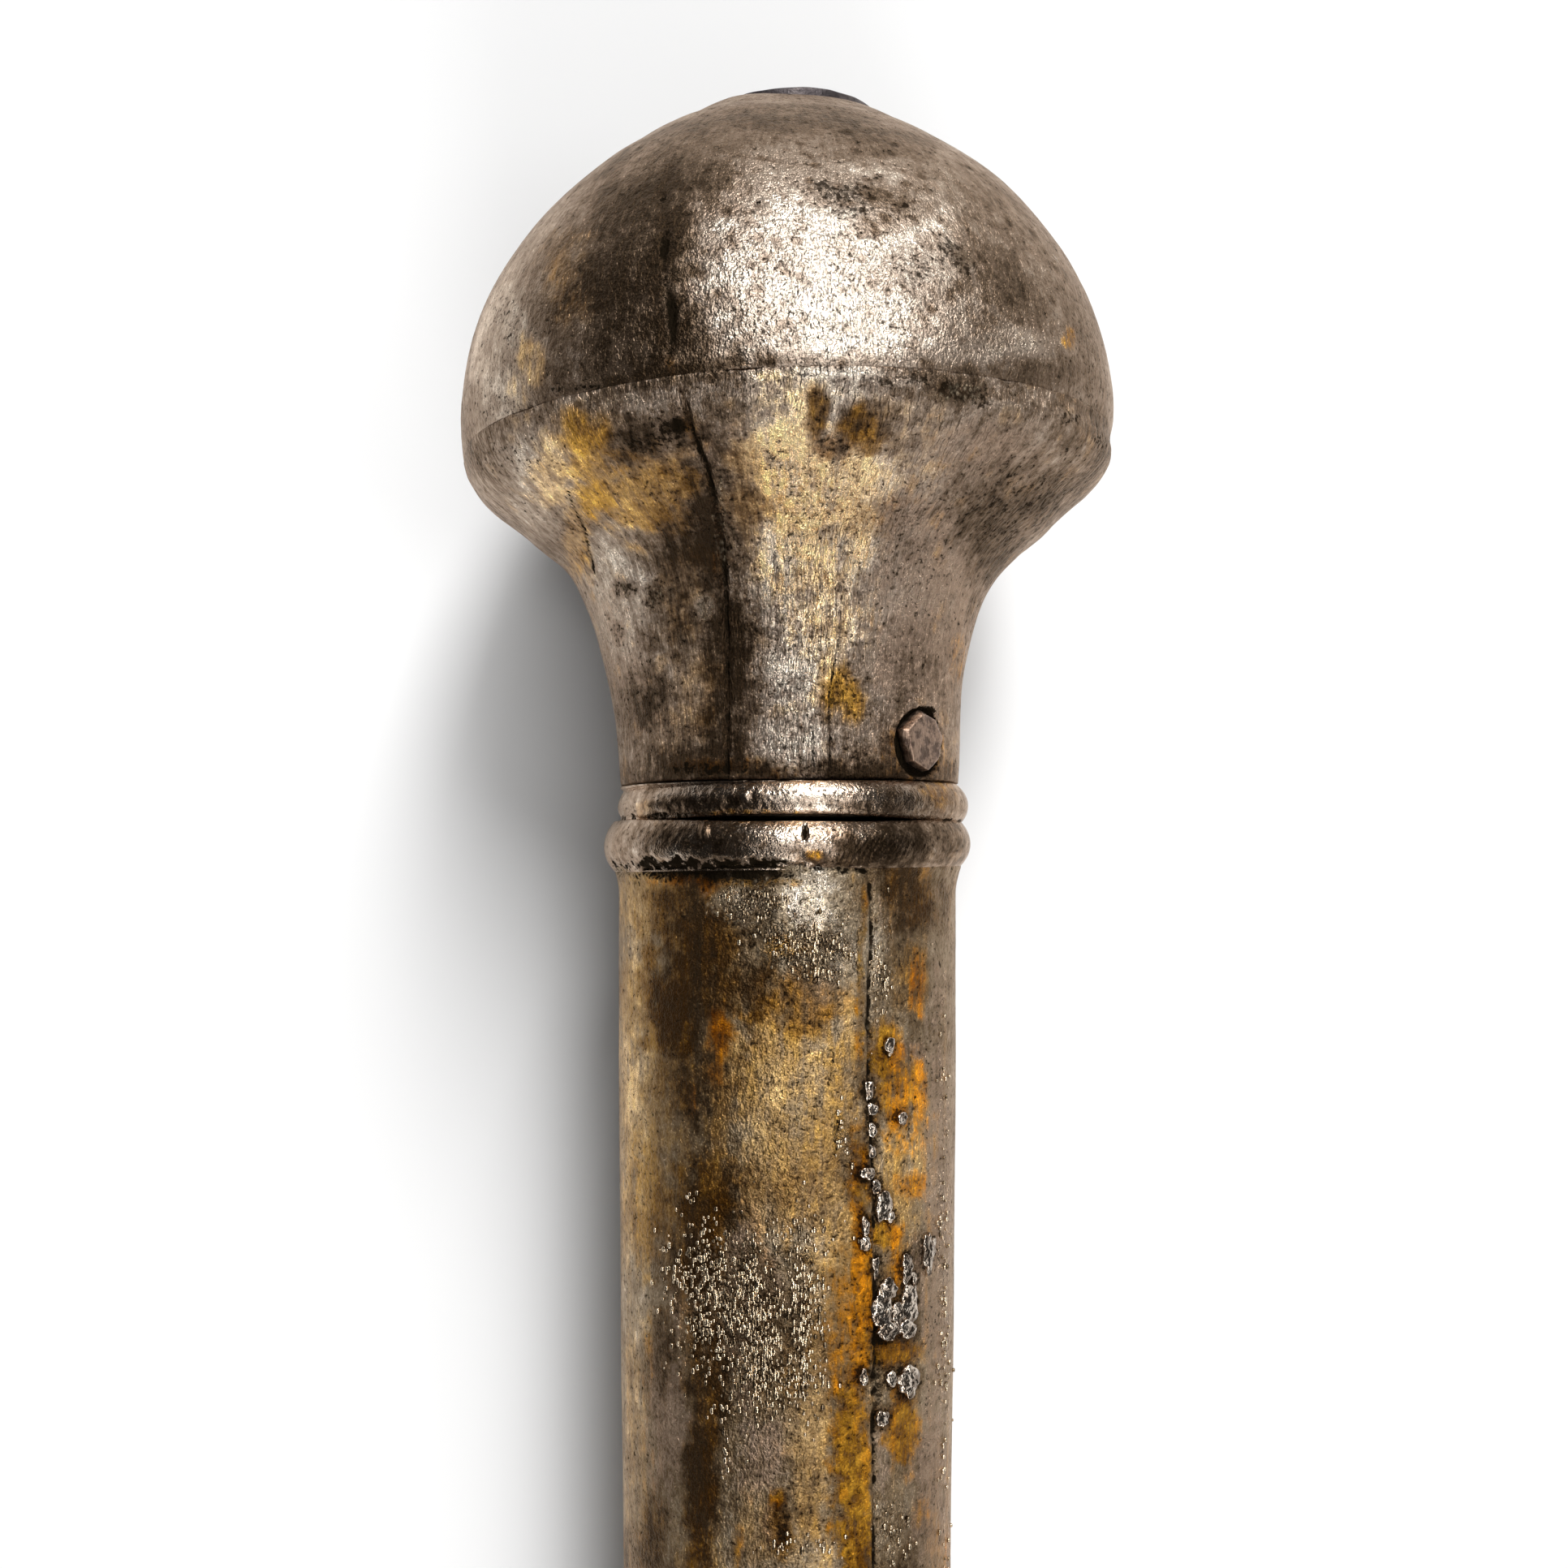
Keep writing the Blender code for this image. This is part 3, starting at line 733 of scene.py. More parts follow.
SHAFT_RUST = {
    "gap under the collar": (890, 1084, 90, 8, 0.7),
    "tongue": (890, 1268, 18, 30, 0.8),
    "tongue's tip": (882, 1318, 10, 26, 0.6),
    "streak under it": (854, 1362, 6, 22, 0.5),
    "under the collar": (874, 1088, 14, 18, 0.8),
    "edge strip": (1063, 1114, 4, 46, 0.6),
    "strip by the seam": (1058, 1240, 6, 90, 0.7),
    "right of the seam": (1090, 1300, 22, 44, 1.0),
    "right of the seam, low": (1112, 1350, 32, 60, 0.85),
    "right, upper": (1130, 1215, 10, 40, 0.6),
    "right, patch": (1124, 1460, 18, 18, 0.8),
    "by the seam": (1056, 1450, 14, 60, 0.8),
    "by the seam, middle": (1060, 1590, 13, 110, 1.2),
    "by the seam, wide": (1040, 1660, 26, 120, 0.6),
    "by the seam, low": (1050, 1800, 24, 120, 1.1),
    "by the seam, lowest": (1052, 1900, 20, 60, 1.0),
    "between the lumps": (1092, 1522, 20, 18, 1.1),
    "between the lumps, low": (1100, 1560, 12, 40, 0.6),
    "below the lumps": (1098, 1664, 40, 18, 0.9),
    "right, low": (1113, 1758, 22, 44, 1.2),
    "smudge": (1134, 1860, 12, 24, 0.5),
    "bottom patch": (960, 1848, 14, 14, 0.8),
    "bottom streak": (910, 1915, 8, 30, 0.6),
}
SHAFT_MAUVE = {
    "right edge": (1155, 1500, 20, 300, 0.9),
    "right edge, low": (1148, 1840, 26, 110, 1.0),
    "right of the seam": (1126, 1296, 18, 14, 0.9),
    "right, middle": (1136, 1560, 16, 60, 0.7),
    "pinkish flake": (920, 1725, 10, 26, 1.3),
    "left low": (822, 1740, 30, 110, 0.9),
    "centre": (1000, 1225, 40, 36, 0.6),
    "beads": (900, 1600, 70, 110, 0.8),
    "low centre": (938, 1800, 34, 50, 0.8),
    "bottom flake": (948, 1878, 8, 22, 1.2),
    "top right": (1120, 1100, 50, 60, 0.6),
    "grey by the seam, low": (1084, 1795, 16, 64, 0.6),
}
SHAFT_PITS = {
    "round the splash": (925, 1130, 60, 40, 0.6),
    "under the collar": (880, 1078, 110, 18, 0.7),
    "triangle": (1000, 1170, 56, 40, 0.5),
    "smoke's top": (850, 1110, 50, 40, 0.4),
    "left edge": (786, 1500, 26, 400, 0.4),
    "rust by the seam": (1052, 1620, 22, 200, 0.4),
    "rust right of the seam": (1105, 1400, 40, 260, 0.4),
    "beads": (910, 1620, 80, 110, 0.6),
    "right edge": (1150, 1500, 26, 400, 0.45),
    "bottom flake's side": (962, 1885, 14, 30, 0.8),
    "seam": (1078, 1690, 14, 60, 0.8),
}
SHAFT_GRIME = {
    "under the collar": (882, 1073, 98, 12, 1.0),
    "under the collar, right": (1035, 1070, 36, 4, 0.6),
    "crack": (786, 1080, 5, 12, 0.5),
    "across the seam": (1085, 1652, 16, 4, 0.8),
    "branch": (1078, 1696, 10, 3, 0.7),
    "branch below": (1080, 1715, 10, 3, 0.7),
}
SHAFT_SPLASH = {"splash": (912, 1098, 36, 22, 1.0), "tail": (1000, 1165, 50, 30, 0.4)}
SHAFT_FLAKES = {
    "pinkish flake": (920, 1725, 9, 26, 0.10),
    "bottom flake": (948, 1880, 8, 24, 0.10),
    "tongue": (890, 1262, 18, 24, 0.06),
}
SHAFT_SCRATCHES = {
    "scratch": ((1025, 1296), (1024, 1318), (1021, 1336)),
    "fine": ((1128, 1350), (1120, 1400)),
}

# Solder: the margin round lumps that is darkened as grime and painted shade, lumps as (x, y, half width, half
# height), the crust of beads as stains, and clusters of beads as (x, y, half width, half height, number of
# beads)
LUMP_MARGIN = 5
SOLDER_LUMPS = {
    "seam, first": (1070, 1345, 7, 14),
    "seam, second": (1074, 1366, 8, 9),
    "single": (1110, 1378, 7, 8),
    "seam, third": (1074, 1392, 6, 9),
    "seam, fourth": (1073, 1418, 7, 9),
    "round": (1064, 1446, 9, 8),
    "long, upper": (1078, 1462, 8, 9),
    "long": (1087, 1486, 10, 18),
    "long, side": (1096, 1500, 6, 8),
    "left of the seam": (1063, 1508, 6, 12),
    "left of the seam, low": (1064, 1530, 7, 10),
    "thin": (1079, 1562, 5, 16),
    "great, top": (1092, 1590, 12, 12),
    "great, left": (1084, 1612, 12, 24),
    "great, foot": (1090, 1638, 16, 12),
    "great, middle": (1104, 1618, 10, 14),
    "great, right": (1118, 1608, 10, 26),
    "great, right foot": (1114, 1636, 13, 12),
    "upper right": (1116, 1562, 7, 16),
    "upper right, side": (1124, 1574, 4, 10),
    "small, left": (1062, 1695, 5, 10),
    "round, right": (1117, 1702, 12, 17),
    "by it": (1097, 1700, 6, 12),
    "flat": (1086, 1747, 9, 12),
    "speckled": (1143, 1540, 7, 26),
    "by the edge": (1095, 1290, 6, 12),
}
BEAD_FIELDS = {
    "splash": (925, 1108, 44, 28, 0.9),
    "under the splash": (960, 1150, 40, 22, 0.6),
    "triangle": (1000, 1165, 56, 36, 0.9),
    "triangle's tip": (1010, 1200, 30, 18, 0.8),
    "beside the seam": (1050, 1160, 16, 60, 0.6),
    "right of the seam": (1090, 1190, 18, 80, 0.55),
    "seam's side": (1074, 1260, 8, 60, 0.5),
    "left of the seam": (1040, 1410, 16, 60, 0.5),
    "upper left": (865, 1560, 34, 50, 0.35),
    "left": (880, 1620, 40, 60, 0.45),
    "crust": (926, 1620, 13, 90, 0.9),
    "crust, right": (945, 1660, 14, 60, 0.7),
    "middle": (930, 1640, 44, 90, 0.5),
    "right": (985, 1610, 28, 90, 0.45),
    "right, streak": (988, 1640, 8, 60, 0.8),
    "low": (955, 1700, 50, 40, 0.5),
    "low right": (1105, 1890, 30, 60, 0.5),
    "right edge": (1163, 1560, 8, 380, 0.55),
}
BEAD_CLUSTERS = {
    "splash": (925, 1110, 50, 30, 60),
    "under the splash": (955, 1150, 40, 20, 30),
    "triangle": (1003, 1170, 46, 34, 110),
    "triangle's tip": (1010, 1202, 22, 14, 30),
    "beside the seam": (1085, 1200, 12, 70, 60),
    "left of the seam": (1035, 1400, 12, 50, 20),
    "few": (850, 1475, 12, 10, 6),
    "upper left": (870, 1560, 60, 60, 190),
    "left": (880, 1625, 60, 80, 330),
    "crust": (926, 1620, 14, 100, 150),
    "crust, right": (944, 1665, 16, 60, 90),
    "middle": (930, 1640, 40, 90, 230),
    "right": (988, 1610, 34, 110, 260),
    "right, streak": (990, 1640, 9, 70, 60),
    "top row": (975, 1520, 60, 24, 40),
    "low": (955, 1705, 60, 34, 170),
    "line": (893, 1770, 6, 70, 24),
    "row": (985, 1905, 60, 12, 40),
    "right edge": (1163, 1600, 8, 330, 90),
    "low right": (1100, 1890, 22, 50, 40),
}


def outline_radius(h):
    """The radius of the neck or the shaft at a height."""
    return np.where(h > 0, curve_through(h, NECK_H, NECK_R), curve_through(h, SHAFT_H, SHAFT_R))


def surface_under(x, y):
    """The own-frame point of the neck or shaft that shows at a place in the photograph."""
    slope_x = (x - UNDER_CAMERA[0]) / FOCAL_LENGTH
    slope_y = (UNDER_CAMERA[1] - y) / FOCAL_LENGTH
    u = SEARCH_START
    for _ in range(SEARCH_STEPS):
        depth = CAMERA_HEIGHT - u
        h = slope_y * depth + CAMERA_H
        radius = float(outline_radius(np.array(h)))
        side = np.clip(slope_x * depth, -0.999 * radius, 0.999 * radius)
        u = math.sqrt(radius**2 - side**2)
    return np.array((side, h, u))


def pits(points, centres, radii, depth):
    """Hollows at some centres: their relief, and how deep in a hollow each point is, from 0 to 1."""
    hollow = np.zeros(points.shape[:-1])
    for centre, radius in zip(centres, radii):
        distance = np.linalg.norm(points - centre, axis=-1)
        hollow = np.maximum(hollow, smooth(distance, radius, 0.3 * radius))
    return -depth * hollow, hollow


def random_points(points, count, generator, wanted=None):
    """Some of a grid's points, chosen by chance, more often where they are wanted."""
    flat = points.reshape(-1, 3)
    weights = np.ones(len(flat)) if wanted is None else wanted.reshape(-1) + 1e-9
    return flat[generator.choice(len(flat), count, p=weights / weights.sum())]


# Building of meshes

def grid_mesh(name, points, ring=False):
    """A mesh of rows and columns of own-frame points, closed by a fan at each end unless it is a ring."""
    rows, columns = points.shape[:2]
    row = np.arange(rows if ring else rows - 1)[:, None] * columns
    column = np.arange(columns)
    below = (row + columns) % (rows * columns)
    beside = np.roll(column, -1)
    quads = np.stack((row + column, below + column, below + beside, row + beside), axis=-1)
    faces = quads.reshape(-1, 4).tolist()
    vertices = to_world(points.reshape(-1, 3))
    if not ring:
        vertices = np.vstack((vertices, to_world(points[[0, -1]].mean(axis=1))))
        top, bottom = rows * columns, rows * columns + 1
        last = (rows - 1) * columns
        for here, there in zip(column.tolist(), beside.tolist()):
            faces += [(top, here, there), (bottom, last + there, last + here)]
    mesh = bpy.data.meshes.new(name)
    mesh.from_pydata(vertices.tolist(), [], faces)
    return mesh


def add_piece(mesh, material, nodes):
    """Puts a mesh in the scene as a piece of the sceptre. It stands for the given CAD nodes."""
    mesh.materials.append(material)
    mesh.shade_smooth()
    obj = bpy.data.objects.new(mesh.name, mesh)
    bpy.context.scene.collection.objects.link(obj)
    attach(obj, "root")
    if nodes:
        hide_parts(*nodes)


def add_skin(name, skin, relief, masks, material, node):
    """The piece that a skin and its relief make, with its masks for the material."""
    mesh = grid_mesh(name, skin.points + skin.normals * relief[..., None], skin.ring)
    spare = len(mesh.vertices) - relief.size
    for mask, values in masks.items():
        made = mesh.attributes.new(mask, "FLOAT", "POINT")
        made.data.foreach_set("value", np.append(values, np.zeros(spare)))
    grain = mesh.attributes.new("grain", "FLOAT_VECTOR", "POINT")
    grain.data.foreach_set("vector", np.append(skin.grain, np.zeros(3 * spare)))
    add_piece(mesh, material, [node])


def add_cut_piece(name, points, material, node):
    """The piece that a closed grid of points makes, with its faces turned outwards."""
    mesh = grid_mesh(name, points)
    shape = bmesh.new()
    shape.from_mesh(mesh)
    bmesh.ops.recalc_face_normals(shape, faces=shape.faces)
    shape.to_mesh(mesh)
    shape.free()
    add_piece(mesh, material, [node])


def rays(angles, first, second):
    """Directions at some angles between two others at a right angle."""
    return np.cos(angles)[:, None] * first + np.sin(angles)[:, None] * second


# Materials

class Graph:
    """A material's nodes, with a short call for each kind."""

    def __init__(self, name):
        self.material = bpy.data.materials.new(name)
        self.material.use_nodes = True
        self.nodes = self.material.node_tree.nodes
        self.links = self.material.node_tree.links

    def plug(self, socket, value):
        if isinstance(value, bpy.types.NodeSocket):
            self.links.new(value, socket)
        elif isinstance(value, tuple) and socket.type == "RGBA":
            socket.default_value = (*value, 1.0)
        else:
            socket.default_value = value

    def node(self, kind, inputs, output=0, **settings):
        """The output of a new node with some settings, and with values or links for its inputs."""
        node = self.nodes.new("ShaderNode" + kind)
        for name, value in settings.items():
            setattr(node, name, value)
        for name, value in inputs.items():
            self.plug(node.inputs[name], value)
        return node.outputs[output]

    def math(self, operation, first, second=0.0, clamp=False):
        return self.node("Math", {0: first, 1: second}, operation=operation, use_clamp=clamp)

    def add(self, first, second):
        return self.math("ADD", first, second)

    def times(self, first, second):
        return self.math("MULTIPLY", first, second)

    def mean(self, first, second):
        return self.times(self.add(first, second), 0.5)

    def total(self, value, *parts, clamp=False):
        """A value plus each of some (layer, share) parts. If it is clamped, the sum is kept from 0 to 1."""
        for number, (layer, share) in enumerate(parts, start=1):
            value = self.math("ADD", value, self.times(layer, share), clamp and number == len(parts))
        return value

    def mask(self, name):
        return self.node("Attribute", {}, "Fac", attribute_name=name)

    def grain(self, scale):
        return self.scaled(self.node("Attribute", {}, "Vector", attribute_name="grain"), scale)

    def place(self):
        """The point's place in millimetres."""
        return self.scaled(self.node("TexCoord", {}, "Object"), (1 / MM, 1 / MM, 1 / MM))

    def scaled(self, vector, scale):
        return self.node("Mapping", {"Vector": vector, "Scale": scale})

    def noise(self, vector, scale, detail, roughness):
        inputs = {"Vector": vector, "Scale": scale, "Detail": detail, "Roughness": roughness}
        return self.node("TexNoise", inputs)

    def cells(self, vector, scale):
        """The distance to the middle of the nearest of many close-packed grains."""
        return self.node("TexVoronoi", {"Vector": vector, "Scale": scale}, "Distance")

    def step(self, value, low, high):
        """0 below low, 1 above high and smooth between."""
        limits = {"Value": value, "From Min": low, "From Max": high}
        return self.node("MapRange", limits, interpolation_type="SMOOTHSTEP")

    def mix(self, factor, first, second, blend="MIX"):
        return self.node("Mix", {0: factor, 6: first, 7: second}, 2, data_type="RGBA", blend_type=blend)

    def bump(self, height, depth):
        """The normals of a relief whose depth is given in metres."""
        return self.node("Bump", {"Distance": depth, "Height": height})

    def ragged(self, name, first, second, low=0.35, high=0.65, amount=1.7):
        """A mask whose edge is broken up by two noises."""
        strength = self.mask(name)
        wobble = self.math("SUBTRACT", self.add(first, second), 1.0)
        spread = self.times(self.math("MULTIPLY", strength, 3.6, clamp=True), amount)
        return self.step(self.total(strength, (wobble, spread)), low, high)

    def finished(self, looks):
        """The material, with values or links for the inputs of its shader."""
        for name, value in looks.items():
            self.plug(self.nodes["Principled BSDF"].inputs[name], value)
        return self.material


def aged_metal(name, clean, worn, patina, roughness, coarseness, crinkling, contrast, stretch):
    """Old metal: patina, dull metal, clean metal and rubbed spots in layers, with gilding, rust and grime.

    The masks for rubbed metal and for dark stains shift the layers' limits, so that rubbed spots and stains
    break up along the metal's own mottling. On some parts these masks also carry painted highlights, painted
    reflections and painted shade. Gilding, rust and mauve tarnish are soft tints over that. Coarseness is the
    relief's depth in metres, crinkling the wrinkles' strength and stretch their width for their length.
    """
    graph = Graph(name)
    place = graph.place()
    cloud = graph.noise(place, 0.13, 3.0, 0.6)
    mottle = graph.noise(place, 0.8, 5.0, 0.7)
    speck = graph.noise(place, 2.4, 3.0, 0.65)
    grit = graph.noise(place, 5.5, 2.0, 0.6)
    streak = graph.noise(graph.grain((1.0, 0.16, 1.0)), 1.7, 5.0, 0.68)
    crinkle = graph.noise(graph.grain((1.0, stretch, 1.0)), 2.7, 2.0, 0.6)
    wear_and_highlight, dark, pitted = graph.mask("wear_and_highlight"), graph.mask("dark"), graph.mask("pits")

    shares = ((cloud, 0.28), (mottle, 0.34 * contrast), (streak, 0.22 * contrast), (speck, 0.20 * contrast))
    tone = graph.total(0.5, *((graph.math("SUBTRACT", layer, 0.5), share) for layer, share in shares))
    tone = graph.total(tone, (wear_and_highlight, 0.15), (graph.mask("gild"), 0.04), (dark, -0.16))
    colour = patina
    for layer, (low, high) in zip((worn, clean, BARE_AND_HIGHLIGHT), LAYER_LIMITS):
        colour = graph.mix(graph.step(tone, low, high), colour, layer)
    mauve = graph.times(graph.ragged("mauve", streak, mottle, 0.1, 1.0), graph.step(tone, 0.36, 0.50))
    tarnish = graph.mix(graph.step(tone, 0.42, 0.58), MAUVE_WORN, MAUVE)
    colour = graph.mix(graph.times(mauve, 0.8), colour, tarnish)
    above = graph.math("SUBTRACT", streak, 0.90)
    depth = graph.total(graph.mask("deep"), (mottle, 0.6), (above, 1.0), clamp=True)
    gilding = graph.ragged("gild", streak, mottle, 0.0, 1.0, 1.3)
    colour = graph.mix(gilding, colour, graph.mix(depth, GOLD_PALE, GOLD_DEEP), "MULTIPLY")

    rust = graph.ragged("rust", mottle, streak, 0.05, 1.0, 1.5)
    rust_colour = graph.mix(graph.step(graph.mean(mottle, tone), 0.42, 0.58), RUST_DARK, RUST_LIGHT)
    colour = graph.mix(rust, colour, rust_colour, "MULTIPLY")
    scratched = graph.step(graph.mean(streak, speck), 0.46, 0.34)
    colour = graph.mix(graph.times(scratched, 0.15), colour, patina)
    pit_share = graph.math("POWER", pitted, 2.0)
    holes = graph.times(graph.step(graph.total(speck, (pit_share, -0.17)), 0.40, 0.32),
                        graph.step(graph.total(mottle, (pit_share, -0.17)), 0.54, 0.46))
    grime = graph.math("MAXIMUM", graph.ragged("grime", mottle, speck), graph.times(holes, 0.85))
    colour = graph.mix(grime, colour, GRIME)

    beads = graph.ragged("beads", streak, mottle, 0.3, 0.8)
    granule = graph.step(graph.cells(graph.grain((1.0, 0.75, 1.0)), 2.9), 0.58, 0.18)
    crust = graph.mix(granule, CREVICE, graph.mix(streak, BEAD_CLEAN, BEAD_DULL))
    colour = graph.mix(graph.times(beads, 0.6), colour, crust)

    dull = graph.math("MAXIMUM", graph.times(rust, 0.12), graph.times(grime, 0.8))
    relief = graph.total(
        graph.times(mottle, 0.8), (speck, 1.3), (graph.step(crinkle, 0.42, 0.60), crinkling), (grit, 0.6),
        (rust, graph.times(mottle, 2.0)), (pitted, graph.times(speck, 1.6)),
        (beads, graph.times(granule, 1.4)), (grime, -0.6),
    )
    return graph.finished({
        "Base Color": colour,
        "Metallic": graph.total(1.0, (dull, -1.0), clamp=True),
        "Roughness": graph.total(roughness + 0.25, (tone, -0.5), (dull, 0.15), (beads, -0.14), clamp=True),
        "Specular IOR Level": graph.total(0.5, (grime, -1.0), (rust, -0.4), clamp=True),
        "Specular Tint": EDGE_TINT,
        "Normal": graph.bump(relief, coarseness),
    })


def dark_metal():
    """The crown plate: grey-violet tarnish with worn, lighter edges."""
    graph = Graph("dark_plate_metal")
    mottle = graph.noise(graph.place(), 0.7, 6.0, 0.65)
    speck = graph.noise(graph.place(), 4.0, 3.0, 0.6)
    colour = graph.mix(graph.step(mottle, 0.4, 0.62), PLATE_DARK, PLATE_GREY)
    return graph.finished({
        "Base Color": graph.mix(graph.step(speck, 0.6, 0.7), colour, PLATE_PITTED),
        "Metallic": 0.85,
        "Roughness": graph.total(0.34, (mottle, 0.3)),
        "Normal": graph.bump(graph.add(mottle, speck), 0.00006),
    })


def copper_metal():
    """The rivet: dull copper with darker blotches and file marks."""
    graph = Graph("rivet_metal")
    mottle = graph.noise(graph.place(), 1.3, 5.0, 0.65)
    filed = graph.noise(graph.scaled(graph.place(), (3.0, 0.8, 1.0)), 2.2, 3.0, 0.6)
    return graph.finished({
        "Base Color": graph.mix(graph.step(mottle, 0.40, 0.60), COPPER_DULL, COPPER_CLEAN),
        "Metallic": 1.0,
        "Roughness": graph.total(0.28, (mottle, 0.25)),
        "Normal": graph.bump(graph.add(mottle, filed), 0.00005),
    })


def solder_metal(name, clean, dull, roughness, coarseness):
    """Solder: shiny metal with a crusty surface, brown in its hollows."""
    graph = Graph(name)
    mottle = graph.noise(graph.place(), 0.9, 3.0, 0.6)
    crust = graph.noise(graph.place(), 1.9, 2.0, 0.5)
    tone = graph.mean(mottle, crust)
    return graph.finished({
        "Base Color": graph.mix(graph.step(tone, 0.42, 0.56), dull, clean),
        "Metallic": 1.0,
        "Roughness": graph.total(roughness + 0.15, (tone, -0.3)),
        "Normal": graph.bump(graph.add(mottle, crust), coarseness),
    })


# The head

def ridge_rounded(h, radius, rows):
    """The radius at each point of a skin, with the ridge's corner rounded off on some of its rows."""
    below = 0.3
    upper, lower = curve_through(RIDGE_H - np.array((below, 2 * below)), NECK_H, NECK_R)
    angle = np.degrees(np.abs(spread_angles(HEAD_COLUMNS)))
    reach = RIDGE_REACH + RIDGE_SPREAD * smooth(angle, 12, 32) * smooth(angle, 90, 78)
    inside = np.clip(reach - np.abs(h[rows] - RIDGE_H)[:, None], 0, None)
    radius = every_column(radius, HEAD_COLUMNS)
    radius[rows] -= (upper - lower) / below * inside**2 / (4 * reach)
    return radius


def ridge_dents(skin, relief):
    """A relief that ends at the ridge in dents which the dome and the neck have in common."""
    off = np.abs(skin.plain_h - RIDGE_H)
    return relief * smooth(off, 0.05, 1.6) + dents(skin.points, RIDGE_DENTS) * smooth(off, 2.2, 0.0)


def dome_fullness(normals):
    """How far the hammered dome stands out of a true ball: on its left flank, and round the crown."""
    side, up = -normals[..., 0], normals[..., 1]
    flank = 0.6 * smooth(side, -0.1, 0.35) * smooth(up, 0.0, 0.45) * smooth(up, 1.0, 0.8)
    shoulder = smooth(side, 0.0, 0.2) * (0.3 * smooth(up, 0.80, 0.90) + 0.25 * smooth(up, 0.9, 0.96))
    return flank + shoulder + 0.35 * smooth(up, 0.82, 0.92) + 1.05 * smooth(up, 0.90, 0.985)


def make_dome(material):
    turn = np.linspace(0.004, 1.0, DOME_ROWS) * math.pi / 2
    h = np.append(RIDGE_H + HEAD_RADIUS * np.cos(turn), (RIDGE_H - 0.01, RIDGE_H - 0.01))
    rim = (HEAD_RADIUS - RIM_STEP, HEAD_RADIUS - 2 * RIM_STEP)
    radius = np.append(HEAD_RADIUS * np.sin(turn), rim)
    skin = Skin(h, ridge_rounded(h, radius, slice(0, -2)), HEAD_COLUMNS, leaning=True)
    points, marks = skin.points, skin.marks
    generator = np.random.default_rng(SEED)
    wobble = field(points, 2.5, 4, seed=3)

    relief = dome_fullness(skin.normals) + dents(points, DOME_DENTS)
    relief += 0.030 * field(skin.grain, (1.0, 5.0, 1.0), 3, seed=6) * marks.blots(DOME_WAVES, edge=0.7)
    seam = marks.lines(DOME_SEAM, 8, sway=6)
    relief -= 0.16 * ragged(seam, wobble, 0.8)
    centres = random_points(points, DOME_HOLLOWS, generator, 0.25 + 2.5 * marks.blots(DOME_HOT, edge=0.6))
    hollows, hollow = pits(points, centres, generator.uniform(0.25, 0.75, len(centres)), 0.05)
    relief = ridge_dents(skin, relief + hollows)
    relief[-2:] = 0.0
    relief *= 1 - crown_seat(skin)

    # painted shade in a band along the ridge's crease
    shade = bell(skin.plain_h - RIDGE_H - 0.3, 0.45) * smooth(marks.x, 1200, 1060) * smooth(marks.x, 660, 760)
    gold = marks.blots(DOME_GOLD)
    masks = {
        # painted highlight and painted reflection, lifting the tone towards the top layer
        "wear_and_highlight": ragged(marks.blots(DOME_PAINTED_LIGHT, edge=0.6), wobble, 0.5),
        "gild": ragged(gold, wobble, 0.6),
        "deep": 0.2 * gold,
        "dark": unit(marks.blots(DOME_DARK, edge=0.6) + 0.5 * hollow + 0.45 * shade),
        "rust": marks.blots(DOME_RUST),
        "grime": unit(marks.blots(DOME_GRIME, edge=0.8) + 0.4 * ragged(seam, wobble, 1.0) + 0.3 * hollow),
        "mauve": 0.35 * smooth(wobble, 0.0, 0.5),
        "beads": marks.blots(DOME_BEADS, edge=0.7),
        "pits": marks.blots(DOME_PITS, edge=0.7),
    }
    add_skin("dome_skin", skin, relief, masks, material, "head_dome")


def crown_plate_facts():
    """The plate's middle, its normal, its radius, and its underside and top along the normal."""
    points = node_points("crown_plate", ORIGIN)
    normal = np.array((-math.sin(math.atan(LEAN)), math.cos(math.atan(LEAN)), 0.0))
    along = points @ normal
    middle = (points.min(axis=0) + points.max(axis=0)) / 2
    middle = middle - normal * (middle @ normal)
    radius = np.linalg.norm(points - middle - along[:, None] * normal, axis=1).max()
    return middle - PLATE_SHIFT * RIGHT, normal, radius, along.min(), along.max()


def crown_seat(skin):
    """1 inside the plate's seat and 0 outside."""
    middle, normal, radius, _, _ = crown_plate_facts()
    away = skin.points - middle
    away = away - (away @ normal)[..., None] * normal
    upper = skin.plain_h > RIDGE_H + 0.8 * HEAD_RADIUS
    return upper * smooth(np.linalg.norm(away, axis=-1), radius + 0.28, radius + 0.02)


def make_crown_plate(material):
    """A hand-cut disc: its edge is rounded and a little uneven, and its top is slightly domed and dented."""
    middle, normal, radius, low, high = crown_plate_facts()
    across = np.cross(normal, (0.0, 0.0, 1.0))
    direction = rays(np.arange(PLATE_COLUMNS) / PLATE_COLUMNS * 2 * math.pi, across, np.cross(normal, across))
    turn = np.linspace(0.2, 1.0, 8) * math.pi / 2
    flat, level = radius - PLATE_ROUNDING, high - PLATE_ROUNDING
    reach = np.concatenate((
        np.linspace(0.02, flat, PLATE_ROWS), flat + PLATE_ROUNDING * np.sin(turn), (radius, radius - 0.3),
    ))
    height = np.concatenate((
        np.full(PLATE_ROWS, high), level + PLATE_ROUNDING * np.cos(turn), (low + 0.1 * (high - low), low),
    ))
    points = middle + height[:, None, None] * normal + reach[:, None, None] * direction
    inner = smooth(reach, radius + 0.01, radius - 1.5)[:, None]
    points = points + normal * (dents(points, PLATE_DENTS) * (0.35 + inner))[..., None]
    points = points + direction * (0.10 * field(points, 2.0, 2, seed=10) - 0.08)[..., None]
    add_cut_piece("crown_plate_skin", points, material, "crown_plate")


